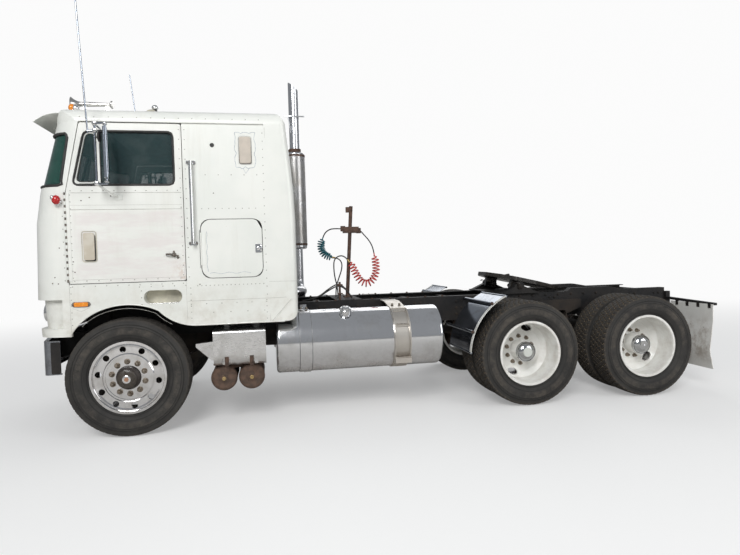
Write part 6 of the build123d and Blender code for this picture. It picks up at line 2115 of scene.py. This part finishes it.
@dataclass
class FrontTrim:
    """Windscreen rubber, wipers, and the small lamp on the roof."""

    screen_low: float = 2.212
    screen_high: float = 2.655
    edge_low_x: float = 0.47
    edge_high_x: float = 0.396
    edge_inset: float = 0.04
    post_y: float = 0.022
    lamp_y: float = 0.86
    lamp_z: float = 2.896

    def on_corner(self, z: float, x: float | None, angle: float = 0.0) -> Point:
        """A point on the cab's rounded front corner.

        Args:
            z: Its height.
            x: Its place from the front axle line, or None where the angle says it.
            angle: How far round the corner it is, from straight ahead, in radians.

        Returns:
            The corner's centre plus its radius times the cosine and sine of that angle.
        """
        front = float(np.interp(z, WALL_HEIGHTS, WALL_FRONTS)) - CORNER_R
        half = float(np.interp(z, WALL_HEIGHTS, WALL_HALF_WIDTHS)) - CORNER_R
        turn = angle if x is None else np.arccos(np.clip((x - front) / CORNER_R, -1, 1))
        return (front + CORNER_R * np.cos(turn), half + CORNER_R * np.sin(turn), z)

    def make(self) -> None:
        """Makes the rubber and the wiper of both panes, and the roof lamp."""
        self.screen_rubber()
        pivot = lathe([(0.0, 0.018), (0.014, 0.016), (0.02, 0.008), (0.021, 0.0003)], 14)
        wiper = [
            tube([(0.698, 0.3, 2.182), (0.7, 0.36, 2.225), (0.64, 0.56, 2.42)], 0.006, 8),
            tube([(0.677, 0.43, 2.27), (0.65, 0.555, 2.43), (0.622, 0.63, 2.55)], 0.005, 6),
            pivot.at_each(np.array([0.684, 0.3, 2.178]), AHEAD),
        ]
        fit_both("{}_wiper", total(wiper), BLACK_RUBBER, "cab")
        self.roof_lamp()

    def screen_rubber(self) -> None:
        """The rubber round a pane: up its rear edge, round the corner to the middle post, and back."""
        low, high, inset = self.screen_low, self.screen_high, self.edge_inset
        slope = (self.edge_low_x - self.edge_high_x) / (high - low)
        heights = np.linspace(low + inset, high - inset, 8)
        edge = [self.on_corner(z, self.edge_low_x - slope * (z - low)) for z in heights]
        top = [self.on_corner(high, None, angle) for angle in np.linspace(1.2, 0.0, 8)]
        foot = [self.on_corner(low, None, angle) for angle in np.linspace(0.0, 1.4, 8)]
        high_x, low_x = (float(np.interp(z, WALL_HEIGHTS, WALL_FRONTS)) for z in (high, low))
        post = [
            (high_x, self.post_y + 0.02, high), (high_x, self.post_y, high - 0.02),
            (low_x, self.post_y, low + 0.02), (low_x, self.post_y + 0.02, low),
        ]
        turns = [
            self.on_corner(high - 0.012, self.edge_high_x + 0.014),
            self.on_corner(low + 0.012, self.edge_low_x - 0.014),
        ]
        loop = np.array([*edge, turns[0], *top, *post, *foot, turns[1]])
        fit_both("{}_screen_rubber", tube(loop, 0.012, 8, True), BLACK_RUBBER, "cab")

    def roof_lamp(self) -> None:
        """The small lamp above the left door: a cream lobe, a dark middle and a bright tail."""
        y, z = self.lamp_y, self.lamp_z
        fit("roof_lamp_base", ellipsoid((-0.235, y, z + 0.02), (0.05, 0.045, 0.03)), STEP_BEIGE, "cab")
        stem = box_shape((-0.285, y - 0.02, z), (-0.262, y + 0.02, z + 0.062), 0.006)
        fit("roof_lamp_stem", stem, BLACK_RUBBER, "cab")
        tail = ellipsoid((-0.268, y, z + 0.068), (0.03, 0.026, 0.024))
        tail = tail + ellipsoid((-0.3, y, z + 0.018), (0.018, 0.02, 0.016))
        fit("roof_lamp_tail", tail, CHROME, "cab")


@dataclass
class WheelTrim:
    """Nuts, studs, caps and hub rings on the wheels."""

    circle_r: float = 0.142875
    front_nut_y: float = 1.1225
    drive_nut_y: float = 0.9308
    starts: tuple[tuple[str, float], ...] = (("first", 3.0), ("second", 11.0))

    def make(self) -> None:
        """Makes each wheel's hardware on its own body."""
        self.front()
        for axle, start in self.starts:
            self.drive(axle, start)

    def circle(self, axle_x: float, y: float, radius: float, count: int, start: float) -> np.ndarray:
        """Places round a wheel: the axle plus the radius times the sine and cosine of even angles.

        Args:
            axle_x: The axle's place from the front axle line.
            y: How far out the places are.
            radius: Their distance from the axle.
            count: How many there are.
            start: The first one's angle from the top, in degrees.

        Returns:
            Rows of x, y, z.
        """
        angles = radians(start) + np.arange(count) * 2 * pi / count
        x, z = axle_x + radius * np.sin(angles), HUB_Z + radius * np.cos(angles)
        return np.column_stack([x, np.full(count, y), z])

    def front(self) -> None:
        """Ten bright nuts, the dark hub's bolts and the copper oil cap."""
        body, hub = "front_{}_wheel", np.array([0.0, 0.0, HUB_Z])
        stud = lathe([(0.0, 0.011), (0.04, 0.011), (0.043, 0.008), (0.043, 0.0003)], 12)
        places = self.circle(0.0, self.front_nut_y, self.circle_r, 10, 3.0)
        nuts = (hex_nut(0.037, 0.026, 0.026) + stud).at_each(places, OUT)
        fit_both(f"{body}_nuts", nuts, NUT_STEEL, body, "chrome")
        drum = lathe([
            (1.19, 0.08), (1.2, 0.0795), (1.204, 0.073), (1.2065, 0.06), (1.2085, 0.048),
            (1.2085, 0.0005),
        ], 40)
        bolts = hex_nut(0.015, 0.008, 0.01).at_each(self.circle(0.0, 1.2055, 0.062, 8, 10.0), OUT)
        fit_both(f"{body}_hub_ring", drum.at_each(hub, OUT) + bolts, GREASE, body)
        cap = lathe([(1.208, 0.036), (1.213, 0.035), (1.216, 0.029), (1.2155, 0.019)], 32)
        fit_both(f"{body}_cap_ring", cap.at_each(hub, OUT), CHROME, body)
        plug = lathe([(1.212, 0.0195), (1.2165, 0.0185), (1.2175, 0.0004)], 24)
        fit_both(f"{body}_oil_cap", plug.at_each(hub, OUT), COPPER, body)

    def drive(self, axle: str, start: float) -> None:
        """Ten nuts deep in the dish, and the bright ring round the hub's dome.

        Args:
            axle: The axle's word in the CAD nodes.
            start: The first nut's angle from the top, in degrees.
        """
        body, x = f"{axle}_{{}}_wheels", DRIVE_AXLES[axle]
        stud = lathe([(0.0, 0.0095), (0.044, 0.0095), (0.046, 0.007), (0.046, 0.0003)], 12)
        places = self.circle(x, self.drive_nut_y, self.circle_r, 10, start)
        nuts = (hex_nut(0.036, 0.028, 0.022) + stud).at_each(places, OUT)
        fit_both(f"{axle}_{{}}_nuts", nuts, NUT_STEEL, body)
        rim = lathe([(1.086, 0.0985), (1.092, 0.101), (1.098, 0.0985)], 40)
        rim = rim.at_each(np.array([x, 0.0, HUB_Z]), OUT)
        fit_both(f"{axle}_{{}}_dome_ring", rim, CHROME, body)


@dataclass
class TankTrim:
    """Strap bolts, step treads and filler caps of the fuel tanks."""

    axis_y: float = 0.8
    axis_z: float = 0.725
    radius: float = 0.302
    steps: Places = ((62, 0.03), (30, 0.034), (-34, 0.062))
    straps: Places = ((-1.574, 0.112), (-2.51, 0.15))
    neck_lean: float = 0.45

    def around(self, radius: float, angle: float) -> Place:
        """Place about the left tank, as (y, z), at an angle in degrees up from straight out."""
        return self.axis_y + radius * cos(radians(angle)), self.axis_z + radius * sin(radians(angle))

    def make(self) -> None:
        """Makes both tanks' trim."""
        self.step_treads()
        lean = self.neck_lean
        neck, tilt = np.array([-1.972, 0.94 + 0.052 * lean, 1.007]), np.array([0.0, lean, 1.0])
        cap = lathe([
            (-0.01, 0.056), (0.03, 0.056), (0.034, 0.052), (0.036, 0.04), (0.046, 0.038), (0.048, 0.0004),
        ], 32)
        lugs = box_shape((-0.062, -0.012, 0.004), (0.062, 0.012, 0.026), 0.004)
        fit_both("{}_filler_cap", (cap + lugs).at_each(neck, tilt / np.linalg.norm(tilt)), CHROME, "chassis")
        y, z = self.around(self.radius + 0.012, 84)
        spots = np.array([(x + away, y, z) for x, width in self.straps for away in (-width / 4, width / 4)])
        fit_both("{}_strap_bolts", hex_nut(0.022, 0.02, 0.016).at_each(spots), NUT_STEEL, "chassis")

    def step_treads(self) -> None:
        """Crossed grip bars on each step, leaning left and right by turns, and one row on its edge."""
        bar = box_shape((-0.011, -0.0022, 0.0), (0.011, 0.0022, 0.0022), 0.001)
        rows = []
        for angle, depth in self.steps:
            y, z = self.around(self.radius, angle)
            across = np.arange(y - 0.005, y + depth - 0.004, 0.012)
            xs, ys = np.meshgrid(np.arange(-2.582, -2.44, 0.018), across)
            spots = np.column_stack([xs.ravel(), ys.ravel(), np.full(xs.size, z)])
            edge = np.column_stack([xs[0], np.full(xs.shape[1], y + depth), np.full(xs.shape[1], z - 0.008)])
            rows += [
                bar.turned("Z", 45.0).at_each(spots[::2]), bar.turned("Z", -45.0).at_each(spots[1::2]),
                bar.turned("X", -90.0).at_each(edge),
            ]
        fit_both("{}_step_treads", total(rows), NUT_STEEL, "chassis", "bright_aluminium")


@dataclass
class ExhaustTrim:
    """The silencer's perforated guard, its clamps and the bracket on the pipe."""

    clamps: tuple[Point, ...] = ((2.905, 0.02, 0.076), (1.72, 0.012, 0.125), (2.835, 0.012, 0.125))

    def make(self) -> None:
        """Makes the guard, the clamps, each given by its height, half width and radius, and the bracket."""
        axis = np.array([EXHAUST_X, EXHAUST_Y, 0.0])
        guard = lathe([(1.7, 0.1195), (1.7, 0.1225), (2.85, 0.1225), (2.85, 0.1195)], 64)
        fit("silencer_guard", guard.at_each(axis), GUARD_STEEL, "chassis")
        bands = [
            lathe([(z - half, r - 0.004), (z - half, r), (z + half, r), (z + half, r - 0.004)], 40)
            for z, half, r in self.clamps
        ]
        bolt = box_shape((0.06, -0.012, 2.892), (0.11, 0.012, 2.918), 0.004)
        fit("exhaust_clamps", total([*bands, bolt]).at_each(axis), RUSTY, "chassis")
        band = lathe([(3.31, 0.0625), (3.31, 0.067), (3.342, 0.067), (3.342, 0.0625)], 40).at_each(axis)
        cross = box_shape((-1.775, -0.786, 3.318), (-1.522, -0.776, 3.334), 0.003)
        stay = tube([(-1.568, -0.78, 3.325), (-1.6, -0.786, 3.12)], 0.006, 8)
        fit("stack_bracket", band + cross + stay, STACK_STEEL, "chassis")


@dataclass
class FrameTrim:
    """Bolts, hose bracket, fender edges, tank fittings and coupling details on the frame."""

    crossmembers: tuple[float, ...] = (-1.8, -2.15, -2.85, -3.33, -4.46, -5.5, -5.82)
    fender_r: float = 0.64
    fender_arc: Place = (4.0, 66.0)
    latches: Place = (-0.847, -1.069)
    air_tanks: Place = (-1.062, -0.811)
    air_tank_z: float = 0.448
    coupling_turn: float = 13.0

    def make(self) -> None:
        """Makes the pieces that ride on the frame and on the coupling plate."""
        self.rail_bolts()
        self.fender_edge()
        self.bumper_flap_and_box()
        self.air_tank_fittings()
        self.hose_bracket()
        self.coupling()
        spots = np.array([(-5.959, y, 0.777) for y in (-0.245, -0.115, 0.115, 0.245)])
        lens = lathe([(0.0, 0.05), (0.006, 0.048), (0.01, 0.038), (0.012, 0.0004)], 28)
        fit("tail_lenses", lens.at_each(spots, -AHEAD), RED_LENS, "chassis")

    def rail_bolts(self) -> None:
        """Bolt heads in pairs on the rail's web, by each crossmember and bracket, and along its top."""
        heights = (0.875, 0.945, 1.015)
        places = [(x + away, z) for x in self.crossmembers for away in (-0.03, 0.03) for z in heights]
        places += [(x, 1.045) for x in np.arange(-3.9, -5.1, -0.16)]
        spots = np.array([(x, 0.43, z) for x, z in places])
        fit_both("{}_rail_bolts", hex_nut(0.024, 0.013, 0.016).at_each(spots, OUT), CAST, "chassis")
        tops = np.array([(x, 0.4, 1.0755) for x in np.arange(-1.75, -3.35, -0.2)])
        fit_both("{}_rail_top_bolts", hex_nut(0.022, 0.012, 0.016).at_each(tops), RUSTY, "chassis")

    def on_fender(self, radius: float, degrees: np.ndarray, y: float) -> np.ndarray:
        """Places round the first drive axle at a radius: its hub plus the radius times cosine and sine.

        Args:
            radius: Their distance from the hub.
            degrees: Their angles up from straight ahead.
            y: How far out they are.

        Returns:
            Rows of x, y, z.
        """
        angles = np.radians(degrees)
        x = DRIVE_AXLES["first"] + radius * np.cos(angles)
        return np.column_stack([x, np.full(len(angles), y), HUB_Z + radius * np.sin(angles)])

    def fender_edge(self) -> None:
        """Two white strips along the fender's outer edge, and its tubes' rusty end bolts."""
        degrees = np.linspace(*self.fender_arc, 28)
        rims = ((self.fender_r, 1.2115), (self.fender_r + 0.003, 1.192))
        strips = [tube(self.on_fender(radius, degrees, y), 0.0048, 8) for radius, y in rims]
        fit_both("{}_fender_edge", total(strips), EDGE_WHITE, "chassis")
        ends = self.on_fender(self.fender_r + 0.017, np.array([22.0, 52.0]), 1.1945)
        fit_both("{}_fender_bolts", hex_nut(0.024, 0.016, 0.0165).at_each(ends, OUT), RUSTY, "chassis")

    def bumper_flap_and_box(self) -> None:
        """A black sheet on the bumper's end as a painted reflection of the dark ground, the mud flap's bolts
        and the battery box's over-centre latches.
        """
        # Painted reflection: a black sheet on the bumper's end for the dark ground reflected in it.
        reflection_sheet = plate((0.531, 0.602), (0.606, 0.877), 0.01, 1.1695, 0.0022, 0.001)
        fit_both("{}_bumper_return", reflection_sheet, FRAME_BLACK, "chassis")
        spots = np.array([(-5.916, y, z) for y in (0.65, 0.81, 0.97, 1.13) for z in (0.895, 0.915)])
        fit_both("{}_flap_bolts", hex_nut(0.012, 0.007, 0.008).at_each(spots, AHEAD), CAST, "chassis")
        straps = [block((x, 1.153, 0.619), (0.018, 0.005, 0.043), 0.004) for x in self.latches]
        knobs = [block((x, 1.162, 0.62), (0.01, 0.006, 0.02), 0.003) for x in self.latches]
        fit_both("{}_box_latches", total(straps + knobs), RUSTY, "chassis")

    def air_tank_fittings(self) -> None:
        """Weld beads, end plugs, drain cocks and straps of the two air tanks."""
        ends = np.array([(x, 0.0, self.air_tank_z) for x in self.air_tanks])
        beads = [lathe([(y - 0.004, 0.1175), (y, 0.1205), (y + 0.004, 0.1175)], 36) for y in (0.608, 1.014)]
        boss = lathe([(1.052, 0.048), (1.062, 0.046), (1.066, 0.034), (1.072, 0.03), (1.072, 0.0004)], 24)
        fit("air_tank_beads", total([*beads, boss]).at_each(ends, OUT), RUSTY, "chassis")
        plugs = hex_nut(0.03, 0.02, 0.018).at_each(ends + 1.07 * OUT, OUT)
        spots = np.array([(x + 0.045, 0.8, 0.3335) for x in self.air_tanks])
        cocks = hex_nut(0.02, 0.026, 0.012).at_each(spots, np.array([0.0, 0.0, -1.0]))
        fit("air_tank_plugs", plugs + cocks, BRASS, "chassis")
        tops = [(x, y, 0.5675) for x in (-1.15, -0.725) for y in (0.66, 0.96)]
        straps = [block(top, (0.012, 0.02, 0.0075), 0.003) for top in tops]
        fit("air_tank_straps", total(straps), RUSTY, "chassis")

    def hose_bracket(self) -> None:
        """The upright bracket by the left rail with its two clipped lines."""
        post = box_shape((-2.012, 0.395, 1.072), (-1.988, 0.405, 1.275), 0.003)
        clips = [box_shape((-2.03, 0.4, z), (-1.97, 0.424, z + 0.016), 0.004) for z in (1.14, 1.235)]
        fit("hose_bracket", total([post, *clips]), RUSTY, "chassis")
        routes = [
            [
                (-1.6, 0.36, 1.085), (-1.75, 0.37, 1.1), (-1.9, 0.39, 1.2 + rise),
                (-2.0, 0.412, 1.243 + rise), (-2.1, 0.39, 1.16), (-2.14, 0.34, 1.088),
            ]
            for rise in (0.0, 0.02)
        ]
        lines = [tube(smooth_line(np.array(route)), 0.007, 8) for route in routes]
        fit("frame_air_lines", total(lines), BLACK_RUBBER, "chassis")

    def coupling(self) -> None:
        """The plate's release handle, its jaw and grease fittings, and the pins that it tilts on."""
        x, y, z = JOINTS["fifth_wheel_tilt"]["pos_m"]
        pivot = np.array([x - AXLE_X, y, z])
        jaw = lathe([(0.0, 0.034), (0.04, 0.034), (0.042, 0.03), (0.042, 0.0265), (0.0, 0.0265)], 32)
        path = ((-0.02, 0.3), (0.03, 0.44), (0.03, 0.56), (0.06, 0.6))
        handle = tube([(*place, 0.045) for place in path], 0.01, 8)
        fittings = ((0.2, 0.1), (0.2, -0.1), (-0.02, 0.3), (-0.02, -0.3))
        spots = np.array([(*place, 0.103) for place in fittings])
        whole = jaw.moved(-0.09, 0.0, 0.064) + handle + hex_nut(0.026, 0.01, 0.02).at_each(spots)
        fit("coupling_fittings", whole.turned("Y", self.coupling_turn).moved(*pivot), CAST, "fifth_wheel")
        pin = lathe([(-0.02, 0.03), (0.0, 0.03), (0.004, 0.024), (0.004, 0.0003)], 20)
        pin = pin.at_each(pivot * [1.0, 0.0, 1.0] + 0.4905 * OUT, OUT)
        fit("coupling_pins", pin + pin.mirrored(), CAST, "fifth_wheel")


@dataclass
class Pad:
    """A padded piece: a rounded block, remeshed, blown up as cloth, with sewn channels pressed in."""

    name: str
    low: Point
    high: Point
    finish: Finish
    node: str = ""
    lean: float = 0.0
    foot: Point = (0.0, 0.0, 0.0)
    channels: tuple[float, ...] = ()
    channel_axis: int = 2
    voxel: float = 0.016
    cap: float = 0.016
    fill: float = 0.7
    inset: float = 0.006
    edge_r: float = 0.038
    pressure: float = 4.0
    frames: int = 20
    press: float = 0.009

    def start(self) -> bpy.types.Mesh:
        """The rounded block, remeshed evenly.

        Returns:
            The block's mesh.
        """
        low, high = np.array(self.low) + self.inset, np.array(self.high) - self.inset
        shape = box_shape(tuple(low), tuple(high), self.edge_r)
        raw = bpy.data.meshes.new(f"{self.name}_block")
        raw.from_pydata(shape.points.tolist(), [], shape.quads.tolist())
        block = bpy.data.objects.new(f"{self.name}_block", raw)
        bpy.context.scene.collection.objects.link(block)
        remesh = block.modifiers.new("even", "REMESH")
        remesh.mode = "VOXEL"
        remesh.voxel_size = self.voxel
        return self.applied(block)

    def applied(self, source: bpy.types.Object) -> bpy.types.Mesh:
        """The object's mesh with its modifiers applied; the object is removed.

        Args:
            source: The object.

        Returns:
            Its finished mesh.
        """
        depsgraph = bpy.context.evaluated_depsgraph_get()
        mesh = bpy.data.meshes.new_from_object(source.evaluated_get(depsgraph))
        bpy.data.objects.remove(source)
        return mesh

    def blown(self, mesh: bpy.types.Mesh) -> bpy.types.Mesh:
        """The mesh after twenty frames of cloth under pressure, each point's move held to the cap.

        Args:
            mesh: The block's mesh.

        Returns:
            The swollen mesh.
        """
        rest = points_of(mesh)
        body = bpy.data.objects.new(f"{self.name}_cloth", mesh)
        bpy.context.scene.collection.objects.link(body)
        cloth = body.modifiers.new("cloth", "CLOTH")
        cloth.settings.use_pressure = True
        cloth.settings.uniform_pressure_force = self.pressure
        cloth.settings.effector_weights.gravity = 0.0
        cloth.collision_settings.use_collision = False
        cloth.point_cache.frame_end = self.frames
        for step in range(1, self.frames + 1):
            bpy.context.scene.frame_set(step)
        result = self.applied(body)
        bpy.context.scene.frame_set(1)
        move = points_of(result) - rest
        reach = np.linalg.norm(move, axis=1, keepdims=True)
        move *= np.minimum(1.0, self.cap / np.maximum(reach, 1e-9))
        result.vertices.foreach_set("co", (rest + move).ravel())
        return result

    def sewn(self, mesh: bpy.types.Mesh) -> None:
        """Presses the channels in and leans the pad.

        Each point moves inwards, towards the pad's middle, by 9 mm times the bell curve
        exp(-(d / 9 mm)^2) of its distance d from the nearest channel line.

        Args:
            mesh: The pad's mesh, which is changed.
        """
        points = points_of(mesh)
        middle = (np.array(self.low) + np.array(self.high)) / 2
        if self.channels:
            away = np.abs(points[:, self.channel_axis, None] - np.array(self.channels)).min(1)
            press = self.press * np.exp(-((away / self.press) ** 2))
            inward = middle - points
            inward[:, self.channel_axis] = 0.0
            inward /= np.maximum(np.linalg.norm(inward, axis=1, keepdims=True), 1e-9)
            points = points + inward * press[:, None]
        if self.lean:
            turn = np.array(Matrix.Rotation(radians(self.lean), 3, "Y"))
            points = (points - self.foot) @ turn.T + self.foot
        mesh.vertices.foreach_set("co", points.ravel())
        mesh.update()

    def make(self, body: str) -> None:
        """Args:
            body: The body that it rides on.
        """
        mesh = self.start()
        mesh = self.blown(mesh)
        self.sewn(mesh)
        mesh.polygons.foreach_set("use_smooth", np.ones(len(mesh.polygons), bool))
        mesh.materials.clear()
        mesh.materials.append(self.finish.material())
        piece = bpy.data.objects.new(self.name, mesh)
        bpy.context.scene.collection.objects.link(piece)
        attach(piece, body)
        if self.node:
            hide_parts(self.node)
        LOG.info("%s: %d faces", self.name, len(mesh.polygons))


@dataclass
class Inside:
    """What shows through the glass: two sprung seats, the mattress and the dials."""

    floor_z: float = 1.334
    seat_y: float = 0.8
    seat_half_width: float = 0.245
    dial_ys: tuple[float, ...] = (0.55, 0.68, 0.8, 0.92, 1.03)

    def make(self) -> None:
        """Makes the seats, the mattress and the dashboard's dials."""
        for side in Side:
            self.seat(side)
        mattress = Pad(
            "bunk_mattress", (ahead(-1.435), -1.095, 1.952), (ahead(-0.63), 1.095, 2.076), BEDDING,
            "mattress", channels=tuple(np.arange(-0.9, 1.0, 0.18)), channel_axis=1, voxel=0.022, cap=0.01,
        )
        mattress.make("cab")
        self.dials()

    def seat(self, side: Side) -> None:
        """One sprung seat: its cushion, its leaning back and its stand with bellows.

        Args:
            side: The truck's side.
        """
        y, z, half = self.seat_y * side.value, self.floor_z, self.seat_half_width
        cushion = Pad(
            f"{side.word}_seat_cushion", (ahead(-0.52), y - half, z + 0.345),
            (ahead(-0.06), y + half, z + 0.465),
            SEAT_CLOTH, "seats" if side is Side.LEFT else "",
            channels=(ahead(-0.4), ahead(-0.29), ahead(-0.18)), channel_axis=0,
        )
        cushion.make("cab")
        half -= 0.01
        back = Pad(
            f"{side.word}_seat_back", (ahead(-0.51), y - half, z + 0.44),
            (ahead(-0.41), y + half, z + 1.12),
            SEAT_CLOTH, lean=-8.0, foot=(ahead(-0.46), y, z + 0.44),
            channels=tuple(z + height for height in (0.58, 0.72, 0.86, 1.0)),
        )
        back.make("cab")
        bellows = lathe([
            (0.06, 0.13), (0.1, 0.16), (0.14, 0.13), (0.18, 0.16), (0.22, 0.13), (0.26, 0.16), (0.3, 0.13),
            (0.335, 0.18),
        ], 28)
        stand = block((-0.29, y, z + 0.03), (0.14, 0.15, 0.03), 0.01) + bellows.moved(-0.29, y, z)
        fit(f"{side.word}_seat_stand", stand, BLACK_RUBBER, "cab", "cab_inner")

    def dials(self) -> None:
        """Five round dials across the dashboard's face, each a ring with a dark face."""
        normal = np.array([-0.98, 0.0, 0.2])
        normal /= np.linalg.norm(normal)
        places = np.array([(0.408, y, 2.005) for y in self.dial_ys])
        rim = lathe([(0.0, 0.05), (0.01, 0.05), (0.012, 0.046), (0.008, 0.043)], 24)
        fit("dial_rings", rim.at_each(places, normal), CHROME, "cab")
        face = lathe([(0.006, 0.0435), (0.0065, 0.0004)], 24)
        fit("dial_faces", face.at_each(places, normal), BLACK_RUBBER, "cab", "cab_inner")


def main() -> None:
    """Makes the camera and the air lines, then the finishes and the rest of the pieces."""
    logging.basicConfig(level=logging.INFO, format="%(name)s: %(message)s")
    Viewpoint().make()
    RED_LINE.make()
    BLUE_LINE.make()
    Studio().make()
    dress_nodes()
    for assembly in (
        TyreSet(), CabWalls(), DoorTrim(), HatchTrim(), CabLamps(), FrontTrim(), WheelTrim(), TankTrim(),
        ExhaustTrim(), FrameTrim(), Inside(),
    ):
        assembly.make()
        LOG.info("%s done", type(assembly).__name__)


if __name__ == "__main__":
    main()
